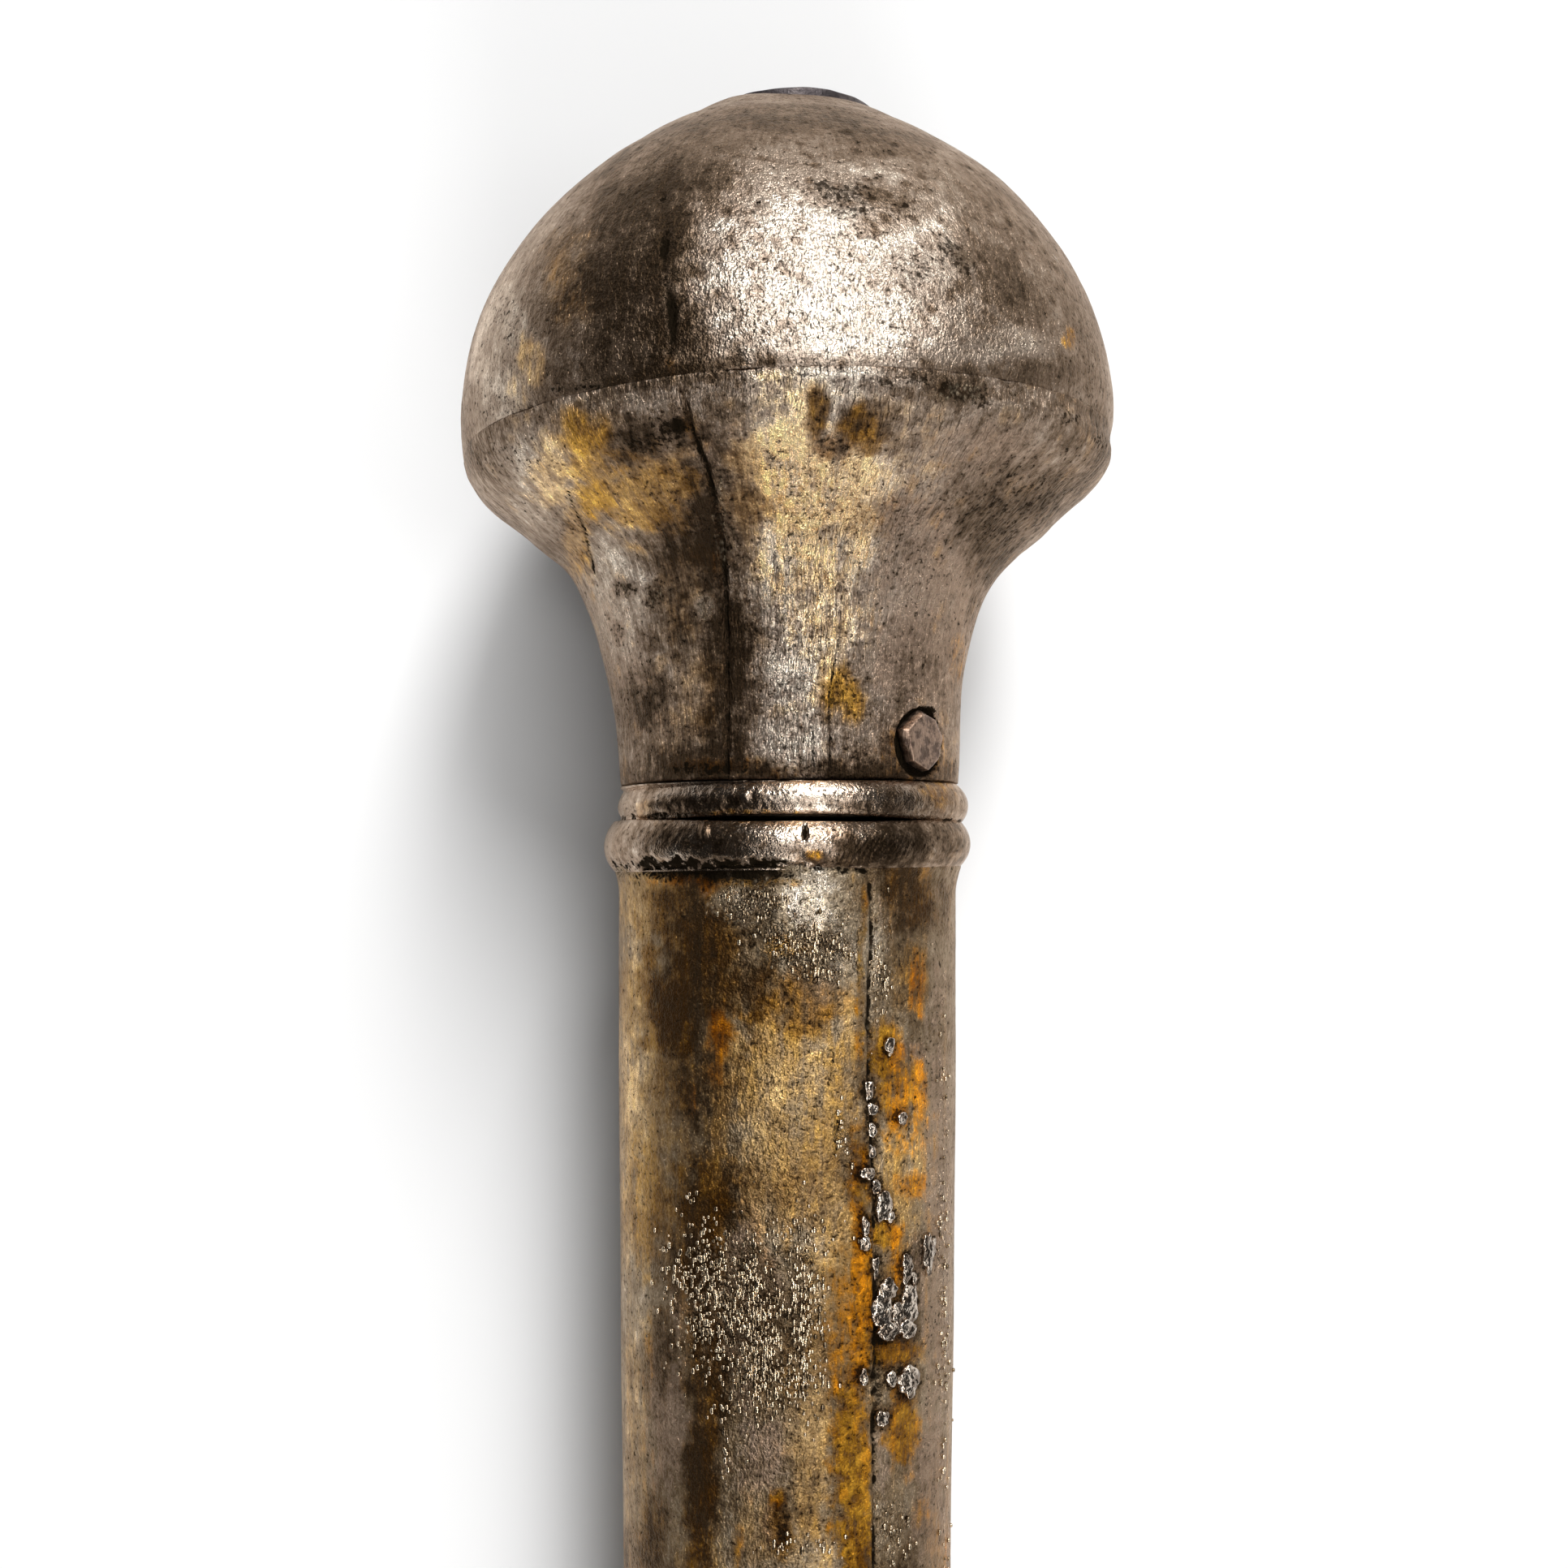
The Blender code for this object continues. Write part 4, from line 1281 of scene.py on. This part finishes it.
def neck_skin():
    """The neck's plain form: a rim inside the dome, the flare, and a spigot through the ring."""
    h = np.linspace(RIDGE_H - 0.01, NECK_FOOT, NECK_ROWS)
    radius = curve_through(h, NECK_H, NECK_R)
    rim = (HEAD_RADIUS - 3 * RIM_STEP, HEAD_RADIUS - 2 * RIM_STEP)
    spigot = RING_CREST - SPIGOT_DEPTH
    h = np.concatenate(((RIDGE_H + 0.3, RIDGE_H + 0.2), h, (RING_HIGH + 0.02, RING_HIGH, RING_LOW)))
    radius = np.concatenate((rim, radius, (radius[-1] - 0.1, spigot, spigot)))
    return Skin(h, ridge_rounded(h, radius, slice(2, -3)), HEAD_COLUMNS, leaning=True)


def neck_fullness(skin, right):
    """How far the hammered neck stands out of its plain form on its two flanks."""
    left = smooth(-skin.normals[..., 0], 0.2, 0.8)
    share = skin.plain_h / RIDGE_H
    upper = 0.7 * right * smooth(share, 0.55, 0.78) * smooth(share, 1.0, 0.93)
    middle = 0.45 * left * smooth(share, 0.25, 0.5) * smooth(share, 0.75, 0.6)
    return upper + middle + 0.35 * right * smooth(share, 0.4, 0.15)


def make_neck(material, rivet_centre):
    skin = neck_skin()
    points, marks = skin.points, skin.marks
    generator = np.random.default_rng(SEED + 1)
    wobble = field(points, 2.5, 4, seed=11)
    streak = field(skin.grain, (0.9, 6.0, 0.9), 4, seed=12)
    right = smooth(skin.normals[..., 0], 0.2, 0.8)

    relief = neck_fullness(skin, right) + dents(points, NECK_DENTS) + 0.018 * (1 + right) * streak
    wrinkles = smooth(field(skin.grain, (0.7, 2.4, 0.7), 3, seed=17), 0.12, 0.3)
    relief += 0.12 * wrinkles * marks.blots(NECK_WRINKLES, edge=0.6) + marks.raised(NECK_LUMPS, 0.9, sway=0.5)
    from_seam = marks.from_path(NECK_SEAM)
    at_seam = near(from_seam, 40)
    in_view = (marks.x > 0) & (marks.y < NECK_FOOT_Y)
    lap = np.where(from_seam < 0, 0.05 * smooth(-from_seam, 90, 0), -0.05 * at_seam)
    groove = near(from_seam - 3 + 1.5 * wobble, 5)
    beside = near(from_seam + 12 + 6 * wobble, 22, 4) * smooth(marks.y, 540, 600)
    relief += in_view * (lap * at_seam - 0.24 * groove)
    crescent = near(marks.from_path(NECK_CRESCENT, sway=3), 12)
    crack = near(marks.from_path(NECK_CRACK, sway=3), 3)
    scratches = marks.lines(NECK_SCRATCHES, 3, sway=2)
    relief -= 0.14 * crescent + 0.10 * crack + 0.05 * scratches
    centres = random_points(points[6:-8], NECK_HOLLOWS, generator)
    hollows, hollow = pits(points, centres, generator.uniform(0.2, 0.6, len(centres)), 0.045)
    away = np.linalg.norm(points - rivet_centre, axis=-1)
    recess = smooth(away, 3.3, 2.75)
    relief = ridge_dents(skin, relief + hollows + 0.08 * bell(away - 3.3, 0.7) - 0.5 * recess)
    relief *= smooth(skin.plain_h, NECK_FOOT - 0.05, NECK_FOOT) * (skin.plain_h < RIDGE_H)

    # The lip under the ridge gets a painted highlight in the middle and painted shade to the sides
    lip = bell(skin.plain_h - RIDGE_H + 0.5, 0.4)
    off_centre = 1 - smooth(marks.x, 890, 950) * smooth(marks.x, 1120, 1070)
    beyond = smooth(marks.x, 690, 760) * smooth(marks.x, 1240, 1180)
    brown = marks.blots(NECK_BROWN, edge=0.6, sway=0.5)
    hem = smooth(skin.plain_h, NECK_FOOT + 2.2, NECK_FOOT) * (0.45 + 0.5 * wobble)
    top = bell(skin.plain_h - RIDGE_H, 0.5) * smooth(wobble, -0.2, 0.5)
    dark = marks.blots(NECK_DARK, edge=0.7) + (0.8 * groove + 0.6 * beside) * in_view
    # painted shade on the lip to the sides of the middle
    dark += 0.6 * (brown + crescent) + 0.4 * hollow + 0.3 * top + 0.5 * hem + 0.4 * lip * off_centre * beyond
    grime = marks.blots(NECK_GRIME, edge=0.8) + 0.7 * crack + 0.6 * scratches + recess + 0.3 * hollow
    grime += 0.9 * groove * in_view * smooth(wobble, -0.9, 0.3)
    # painted highlight and reflections, with the brown patches taken out
    wear_and_highlight = marks.blots(NECK_PAINTED_LIGHT, edge=0.7) + 0.8 * lip * (1 - off_centre) - 2.5 * brown
    gold = np.maximum(marks.blots(NECK_GOLD, edge=0.6), 0.3 * smooth(wobble, 0.2, 0.7))
    mauve = np.maximum(marks.blots(NECK_MAUVE, edge=0.7), 0.3 * smooth(-wobble, 0.1, 0.6))
    masks = {
        "wear_and_highlight": ragged(wear_and_highlight, streak, 0.7),
        "gild": ragged(gold, wobble, 0.5),
        "deep": marks.blots(NECK_DEEP),
        "dark": unit(dark),
        "rust": unit(marks.blots(NECK_RUST, edge=0.7) + 0.25 * hem),
        "grime": unit(grime),
        "mauve": ragged(mauve, streak, 0.5),
        "beads": marks.blots(NECK_BEADS, edge=0.6),
        "pits": unit(marks.blots(NECK_PITS, edge=0.7) + 0.5 * smooth(away, 3.5, 2.9)),
    }
    add_skin("neck_skin", skin, relief, masks, material, "head_neck")


def rivet_seat():
    """The rivet's place on the neck and the outward direction there."""
    points = node_points("neck_rivet", ORIGIN)
    middle = (points.min(axis=0) + points.max(axis=0)) / 2
    outward = middle * (1.0, 0.0, 1.0)
    outward /= np.linalg.norm(outward)
    radius = float(curve_through(np.array(middle[1]), NECK_H, NECK_R))
    return outward * radius + middle * (0.0, 1.0, 0.0), outward


def filed_reach(angles):
    """How far the rivet's filed face reaches at some angles: the sides of an uneven polygon."""
    corners = sorted((math.radians(angle), reach) for angle, reach in RIVET_CORNERS)
    corners = [(corners[-1][0] - 2 * math.pi, corners[-1][1]), *corners]
    corners.append((corners[1][0] + 2 * math.pi, corners[1][1]))
    reach = np.zeros(len(angles))
    for (first, near_reach), (second, far_reach) in zip(corners, corners[1:]):
        x0, y0 = near_reach * math.cos(first), near_reach * math.sin(first)
        x1, y1 = far_reach * math.cos(second), far_reach * math.sin(second)
        side = (angles >= first) & (angles < second)
        slant = np.cos(angles[side]) * (y1 - y0) - np.sin(angles[side]) * (x1 - x0)
        reach[side] = (x0 * y1 - y0 * x1) / slant
    return reach


def make_rivet(material):
    """The rivet's head, filed by hand to an uneven seven-sided face with worn edges, on its shank."""
    seat, outward = rivet_seat()
    angles = np.arange(RIVET_COLUMNS) / RIVET_COLUMNS * 2 * math.pi - math.pi
    direction = rays(angles, np.cross(outward, (0.0, -1.0, 0.0)), np.array((0.0, 1.0, 0.0)))
    shares, levels = np.array(RIVET_SECTION).T
    bevel = 1 + 0.12 * smooth(levels, 0.85, 0.2)[:, None] * smooth(np.cos(angles - 2.3), 0.0, 0.8)
    reach = shares[:, None] * filed_reach(angles) * bevel
    points = seat + levels[:, None, None] * outward + reach[..., None] * direction
    points = points + outward * (0.03 * field(points, 1.1, 3, seed=15))[..., None]
    points = points + direction * (0.03 * field(points, 0.8, 2, seed=16))[..., None]
    add_cut_piece("rivet_head", points, material, "neck_rivet")


# The joint

def slit_half_width(angles):
    """Half the width of the dark slit at the joint: open on top, nearly closed all round."""
    middle = surface_under(*SLIT_MIDDLE)
    off = np.abs(angles - math.atan2(middle[0], middle[2]))
    return 0.05 + 0.31 * smooth(off, math.radians(62), math.radians(12))


def bead_skin(low, high, crest, columns, count):
    """A ring: a bead outside, from top to bottom, and a straight bore inside. Also which rows are outside."""
    turn = np.linspace(math.pi / 2, -math.pi / 2, count)[:, None]
    low = np.zeros(columns) + low
    high = np.zeros(columns) + high
    half = (high - low) / 2
    h = (high + low) / 2 + half * np.sin(turn)
    radius = crest - 0.45 * half * (0.8 * np.sin(turn) ** 2 + 0.2 * (1 - np.cos(turn)))
    bore_h = np.linspace(0.02, 0.98, 5)[:, None] * (high - low) + low
    bore_r = np.full_like(bore_h, crest - BORE_DEPTH)
    outside = (np.arange(count + 5) < count)[:, None]
    return Skin(np.vstack((h, bore_h)), np.vstack((radius, bore_r)), columns, ring=True), outside


def make_neck_ring(material):
    gap = slit_half_width(spread_angles(RING_COLUMNS))
    skin, outside = bead_skin(gap, RING_HIGH, RING_CREST, RING_COLUMNS, RING_ROWS)
    points, marks = skin.points, skin.marks
    wobble = field(points, 1.6, 4, seed=21)
    flare = smooth(points[..., 1], RING_HIGH, 0.0)
    relief = RING_SHIFT * skin.normals[..., 0] + RING_FLARE * (flare - 0.6) + dents(points, RING_DENTS)
    relief += 0.14 * marks.blots(RING_ROUGH, edge=0.6) * field(points, 1.2, 3, seed=24)
    relief += marks.raised(RING_LUMPS, 0.8)
    masks = {
        # random wear, plus the painted highlight
        "wear_and_highlight": unit(0.35 + 0.4 * wobble + 0.5 * marks.blots(RING_HIGHLIGHT)),
        "gild": np.maximum(0.5 * marks.blots(RING_PALE), 0.15 * smooth(wobble, 0.2, 0.6)),
        "dark": unit(marks.blots(RING_DARK) + 0.5 * smooth(wobble, 0.15, 0.6)),
        "rust": marks.blots(RING_RUST, edge=0.7),
        "grime": 0.7 * smooth(points[..., 1], 0.55, 0.3) * smooth(wobble, -0.2, 0.4),
        "mauve": 0.4 * smooth(-wobble, 0.0, 0.5),
    }
    add_skin("neck_ring_skin", skin, relief * outside, masks, material, "neck_ring")


def make_collar(material):
    """The collar's bead, with file marks. The cove under it belongs to the shaft's skin."""
    angles = spread_angles(RING_COLUMNS)
    low = COVE_TOP - 0.2 + 0.25 * np.sin(angles)
    skin, outside = bead_skin(low, -slit_half_width(angles), COLLAR_CREST, RING_COLUMNS, COLLAR_ROWS)
    points, marks = skin.points, skin.marks
    wobble = field(points, 1.6, 4, seed=31)
    relief = dents(points, COLLAR_DENTS) + marks.raised(COLLAR_LUMPS, 0.8)
    filed_right = np.sin((marks.x * 0.86 + marks.y * 0.5 + 5 * marks.sway_x) * 2 * math.pi / 6.4)
    filed_left = np.sin((marks.x * 0.8 + marks.y * 0.6 + 6 * marks.sway_x) * 2 * math.pi / 7.5)
    relief += 0.030 * filed_right * marks.blots(FILED_RIGHT, edge=0.5, sway=0.6) * smooth(wobble, -0.6, 0.0)
    relief += 0.025 * filed_left * marks.blots(FILED_LEFT, edge=0.5, sway=0.6)
    rim = field(points, 0.7, 3, seed=34)
    sunk = unit(marks.blots(COLLAR_GRIME, edge=0.8, sway=0.5) * (1 + 0.9 * rim))
    relief -= 0.45 * sunk * (0.7 + 0.4 * wobble)
    masks = {
        # random wear, plus the painted highlight
        "wear_and_highlight": unit(0.25 + 0.4 * wobble + 0.5 * marks.blots(COLLAR_HIGHLIGHT)),
        "gild": 0.2 * smooth(wobble, 0.2, 0.6),
        "dark": unit(marks.blots(COLLAR_DARK, edge=0.6) + 0.5 * smooth(wobble, 0.2, 0.6)),
        "rust": unit(marks.blots(COLLAR_RUST, edge=0.6) + 0.4 * sunk * smooth(wobble, 0.0, 0.4)),
        "grime": sunk,
        "mauve": 0.4 * smooth(-wobble, 0.0, 0.5),
    }
    add_skin("collar_skin", skin, relief * outside, masks, material, "shaft_collar")


# The shaft

def shaft_seam_path():
    """The seam in the photograph, and on at the same angle to the shaft's foot."""
    last = surface_under(*SHAFT_SEAM[-1])
    angle = math.atan2(last[0], last[2])
    foot_r = SHAFT_R.min()
    x, y = photo_place(np.array((foot_r * math.sin(angle), SHAFT_H.min(), foot_r * math.cos(angle))))
    return SHAFT_SEAM + ((float(x), float(y)),)


def shaft_relief(points, grain, marks):
    """The shaft's height over its plain round form: dents, the lapped sheet's step, the seam and splashes."""
    wobble = field(points, 2.2, 3, seed=41)
    relief = dents(points, SHAFT_DENTS) + dents(grain, SHAFT_GRAIN) + marks.raised(SHAFT_FLAKES, 0.2)
    from_seam = marks.from_path(shaft_seam_path()) + 2.0 * wobble
    step = (from_seam < 0) * smooth(-from_seam, 260, 0) * smooth(from_seam, 1.5, -1.5)
    relief += (marks.x > 0) * (0.26 * step - 0.20 * near(from_seam - 3, 5))
    relief += 0.16 * marks.blots(SHAFT_SPLASH, edge=0.5) * (0.6 + field(points, 1.1, 3, seed=45))
    relief -= 0.4 * marks.blots(SHAFT_GRIME, edge=0.3) * (0.7 + 0.4 * wobble)
    relief -= 0.04 * marks.lines(SHAFT_SCRATCHES, 3, sway=2)
    return relief, wobble, from_seam


def shaft_outline():
    """The shaft's rows: two in the collar, the cove, what shows, what doesn't, and two in the foot ring."""
    shown = np.linspace(COVE_TOP + 0.25, PHOTO_END, SHOWN_ROWS)
    share = np.linspace(0, 1, HIDDEN_ROWS + 1)[1:]
    hidden = PHOTO_END + (SHAFT_H.min() - PHOTO_END) * (0.35 * share + 0.65 * share**1.3)
    h = np.concatenate((shown, hidden))
    cove = unit((h - COLLAR_LOW) / (COVE_TOP - COLLAR_LOW))
    radius = curve_through(h, SHAFT_H, SHAFT_R) + (COLLAR_CREST - 0.9 - SHAFT_R.max()) * cove**1.7
    inner = SHAFT_R.max() - 1.0
    foot_inner = FOOT_RING_CREST - SPIGOT_DEPTH
    h = np.concatenate(((-0.3, h[0] + 0.01), h, (h[-1] - 0.1, FOOT_RING_LOW + 0.3)))
    return h, np.concatenate(((inner, inner), radius, (foot_inner, foot_inner)))


def make_shaft(material):
    skin = Skin(*shaft_outline(), SHAFT_COLUMNS)
    points, marks = skin.points, skin.marks
    relief, wobble, from_seam = shaft_relief(points, skin.grain, marks)
    relief[[0, 1, -2, -1]] = 0.0
    streak = field(skin.grain, (1.3, 14.0, 1.3), 4, seed=46)
    broad = field(skin.grain, (5.0, 40.0, 5.0), 3, seed=47)
    stains = field(points, (8.0, 16.0, 8.0), 3, seed=48)
    spots = field(points, (6.0, 11.0, 6.0), 3, seed=49)

    below = smooth(points[..., 1], -55, -72)
    hidden = np.maximum(1 - marks.shown, below)
    streak *= 1 - 0.75 * hidden
    unseen_gold = hidden * smooth(0.5 * stains + broad, -0.2, 0.3)
    unseen_dark = hidden * smooth(-stains - 0.5 * broad, 0.05, 0.8)
    unseen_rust = hidden * smooth(spots, 0.28, 0.55)
    unseen_bare = hidden * smooth(stains - 0.4 * broad, 0.0, 0.6)
    unseen_crust = hidden * smooth(-spots, 0.32, 0.50)
    seam_line = near(from_seam - 3, 5) * (marks.x > 0) * smooth(wobble, -0.8, 0.2)
    seam_rust = near(from_seam + 14, 26, 4) * (marks.x > 0) * below * smooth(wobble, -0.3, 0.4)
    scratches = marks.lines(SHAFT_SCRATCHES, 3, sway=2)
    # darker round each lump: grime and painted shade where the lumps meet the shaft
    lump_edges = {name: (x, y, wide + LUMP_MARGIN, high + LUMP_MARGIN, 1.0)
                  for name, (x, y, wide, high) in SOLDER_LUMPS.items()}
    beside_lumps = marks.blots(lump_edges, edge=0.4, sway=0.2)
    smoke = marks.blots(SHAFT_SMOKE, edge=0.6, sway=0.4)
    gold = np.maximum(marks.blots(SHAFT_GOLD, edge=0.6), 0.6 * unseen_gold)
    deep = 0.35 * marks.blots(SHAFT_RUST, edge=0.9) + 0.6 * broad
    masks = {
        # painted highlight and reflection, with random wear where the shaft doesn't show
        "wear_and_highlight": ragged(marks.blots(SHAFT_PAINTED_LIGHT, edge=0.6) + 0.6 * unseen_bare, wobble, 0.6),
        "gild": unit(gold + 0.5 * streak + 0.5 * smoke),
        "deep": unit(0.3 + deep - 0.3 * streak + 0.6 * smoke),
        "dark": unit(1.15 * smoke + 0.75 * unseen_dark + 0.6 * beside_lumps),
        "rust": unit(marks.blots(SHAFT_RUST, edge=0.6) + 0.7 * seam_rust + 0.5 * unseen_rust),
        "grime": unit(marks.blots(SHAFT_GRIME, edge=0.8) + seam_line + 0.6 * scratches),
        "mauve": unit(marks.blots(SHAFT_MAUVE, edge=0.6) + 0.6 * hidden * smooth(-broad, 0.05, 0.4)),
        "beads": marks.blots(BEAD_FIELDS, edge=0.9, sway=0.5) + 0.5 * unseen_crust,
        "pits": np.maximum(marks.blots(SHAFT_PITS, edge=0.7), beside_lumps) + 0.5 * unseen_crust,
    }
    add_skin("shaft_skin", skin, relief, masks, material, "shaft")


# The foot

def foot_masks(wobble, wear_and_highlight, gild, dark, dark_low, mauve):
    """Wear and tarnish that follow a noise."""
    return {
        "wear_and_highlight": unit(wear_and_highlight + 0.4 * wobble),
        "gild": gild * smooth(wobble, 0.1, 0.6),
        "dark": dark * smooth(-wobble, dark_low, 0.6),
        "mauve": mauve * smooth(wobble, 0.0, 0.5),
    }


def make_foot_ring(material):
    low, high = FOOT_RING_LOW - 0.1, FOOT_RING_HIGH + 0.1
    skin, outside = bead_skin(low, high, FOOT_RING_CREST, FOOT_COLUMNS, FOOT_ROWS)
    masks = foot_masks(field(skin.points, 1.6, 4, seed=51), 0.3, 0.3, 0.7, 0.1, 0.4)
    relief = dents(skin.points, FOOT_RING_DENTS) * outside
    add_skin("foot_ring_skin", skin, relief, masks, material, "foot_ring")


def make_foot_cap(material):
    """A low domed cap with a flat in its middle, and two rows inside the ring."""
    turn = np.linspace(0, math.pi / 2, FOOT_ROWS)
    h = CAP_HIGH - (CAP_HIGH - CAP_LOW) * np.sin(turn)
    radius = CAP_FLAT + (CAP_CREST - CAP_FLAT) * np.cos(turn)
    h = np.concatenate(((CAP_HIGH + 0.1, CAP_HIGH + 0.1), h, np.full(6, CAP_LOW)))
    radius = np.concatenate(((CAP_CREST - 1.5, CAP_CREST - 0.2), radius, np.linspace(CAP_FLAT - 0.5, 0.3, 6)))
    skin = Skin(h, radius, FOOT_COLUMNS)
    masks = foot_masks(field(skin.points, 1.8, 4, seed=55), 0.25, 0.4, 0.8, 0.0, 0.3)
    relief = dents(skin.points, CAP_DENTS)
    relief[:2] = 0.0
    add_skin("foot_cap_skin", skin, relief, masks, material, "foot_cap")


# Solder

def raised_places(places):
    """The points of the finished shaft under some places in the photograph, and the normals there."""
    points = np.array([surface_under(x, y) for x, y in places])
    normals = points * (1.0, 0.0, 1.0)
    normals /= np.linalg.norm(normals, axis=1, keepdims=True)
    relief = shaft_relief(points, points, Marks(points, normals))[0]
    return points + normals * relief[:, None], normals


def round_shape(fineness):
    """The corners and faces of a ball of radius 1."""
    shape = bmesh.new()
    bmesh.ops.create_icosphere(shape, subdivisions=fineness, radius=1.0)
    corners = np.array([vertex.co[:] for vertex in shape.verts])
    faces = np.array([[vertex.index for vertex in face.verts] for face in shape.faces])
    shape.free()
    return corners, faces


def add_lumps(name, centres, normals, widths, lengths, heights, fineness, roughness, material):
    """Rounded lumps that lie on the surface, each sunk by about a third, as one piece. Sizes are halves."""
    corners, faces = round_shape(fineness)
    along = np.array((0.0, 1.0, 0.0))
    level = 0.25 + np.sign(corners[:, 2]) * np.abs(corners[:, 2]) ** 0.6
    vertices, polygons = [], []
    for number, (centre, normal) in enumerate(zip(centres, normals)):
        across = np.cross(along, normal)
        spread = corners[:, :1] * widths[number] * across + corners[:, 1:2] * lengths[number] * along
        rough = 0.0
        if roughness:
            swelling = 1 + 1.4 * roughness * field(centre + spread, 1.1, 3, seed=60 + number)
            spread = spread * swelling[:, None]
            rough = roughness * field(centre + spread, 0.45, 3, seed=80 + number)
        vertices.append(centre + spread + (level + rough)[:, None] * heights[number] * normal)
        polygons.append(faces + number * len(corners))
    mesh = bpy.data.meshes.new(name)
    mesh.from_pydata(to_world(np.vstack(vertices)).tolist(), [], np.vstack(polygons).tolist())
    add_piece(mesh, material, [])


def make_solder_lumps(material):
    places = np.array(list(SOLDER_LUMPS.values()), float)
    centres, normals = raised_places(places[:, :2])
    scale = (CAMERA_HEIGHT - centres[:, 2]) / FOCAL_LENGTH
    widths = places[:, 2] * scale / np.maximum(normals[:, 2], 0.4)
    lengths = places[:, 3] * scale
    heights = 0.20 + 0.22 * widths
    add_lumps("solder_lumps", centres, normals, widths, lengths, heights, LUMP_FINENESS, 0.35, material)


def make_solder_beads(material):
    generator = np.random.default_rng(SEED + 2)
    places = []
    for x, y, wide, high, count in BEAD_CLUSTERS.values():
        places += list((x, y) + generator.normal(0.0, 0.5, (count, 2)) * (wide, high))
    centres, normals = raised_places(places)
    sizes = generator.uniform(0.08, 0.20, len(places))
    lengths = sizes * generator.uniform(0.9, 1.9, len(places))
    add_lumps("solder_beads", centres, normals, sizes, lengths, sizes * 0.9, BEAD_FINENESS, 0.0, material)


# Stage

def world_point(x, h, u):
    return Vector(to_world(np.array((x, h, u), float)))


def make_floor():
    mesh = bpy.data.meshes.new("floor")
    sides = ((-1, -1), (1, -1), (1, 1), (-1, 1))
    corners = [(x * FLOOR_REACH, y * FLOOR_REACH, -FLOOR_DROP) for x, y in sides]
    mesh.from_pydata(corners, [], [(0, 1, 2, 3)])
    looks = {"Base Color": FLOOR_COLOUR, "Roughness": 0.9, "Specular IOR Level": 0.1}
    mesh.materials.append(Graph("floor_paint").finished(looks))
    floor = bpy.data.objects.new("floor", mesh)
    bpy.context.scene.collection.objects.link(floor)


def make_light(name, direction, size, energy):
    """A soft rectangular light that faces the head, hidden from the camera."""
    light = bpy.data.lights.new(name, "AREA")
    light.shape = "RECTANGLE"
    light.size, light.size_y = size
    light.energy = energy
    obj = bpy.data.objects.new(name, light)
    away = Vector(direction).normalized()
    obj.location = world_point(0.0, LIT_H, 0.0) + away * LIGHT_DISTANCE
    obj.rotation_euler = away.to_track_quat("Z", "Y").to_euler()
    obj.visible_camera = False
    bpy.context.scene.collection.objects.link(obj)


def make_room():
    """The weak light from all round."""
    world = bpy.data.worlds.new("soft_room")
    world.use_nodes = True
    background = world.node_tree.nodes["Background"]
    background.inputs["Color"].default_value = (*ROOM_COLOUR, 1.0)
    background.inputs["Strength"].default_value = ROOM_LIGHT
    bpy.context.scene.world = world


def make_camera():
    """The camera looks straight down on the axis. Its small shift frames the sceptre as in the photograph."""
    camera = bpy.data.cameras.new("camera")
    camera.sensor_width = SENSOR_WIDTH
    camera.lens = FOCAL_LENGTH / PHOTO_SIDE * SENSOR_WIDTH
    camera.shift_x = (PHOTO_SIDE / 2 - UNDER_CAMERA[0]) / PHOTO_SIDE
    camera.shift_y = (UNDER_CAMERA[1] - PHOTO_SIDE / 2) / PHOTO_SIDE
    camera.clip_start = 0.01
    obj = bpy.data.objects.new("camera", camera)
    turn = Matrix((RIGHT, AXIS, UP)).transposed().to_4x4()
    obj.matrix_world = Matrix.Translation(world_point(0.0, CAMERA_H, CAMERA_HEIGHT)) @ turn
    bpy.context.scene.collection.objects.link(obj)
    bpy.context.scene.camera = obj
    bpy.context.scene.view_settings.view_transform = "Standard"


def main():
    metals = {name: aged_metal(name, *values) for name, values in OLD_METALS.items()}
    metals.update({name: solder_metal(name, *values) for name, values in SOLDERS.items()})
    make_camera()
    make_dome(metals["hammered_silver"])
    make_crown_plate(dark_metal())
    make_neck(metals["aged_silver"], rivet_seat()[0])
    make_rivet(copper_metal())
    make_neck_ring(metals["handled_silver"])
    make_collar(metals["handled_silver"])
    make_shaft(metals["worn_gilding"])
    make_solder_lumps(metals["solder_metal"])
    make_solder_beads(metals["bead_metal"])
    make_foot_ring(metals["handled_silver"])
    make_foot_cap(metals["handled_silver"])
    make_floor()
    for name, (direction, size, energy) in LIGHTS.items():
        make_light(name, direction, size, energy)
    make_room()


main()
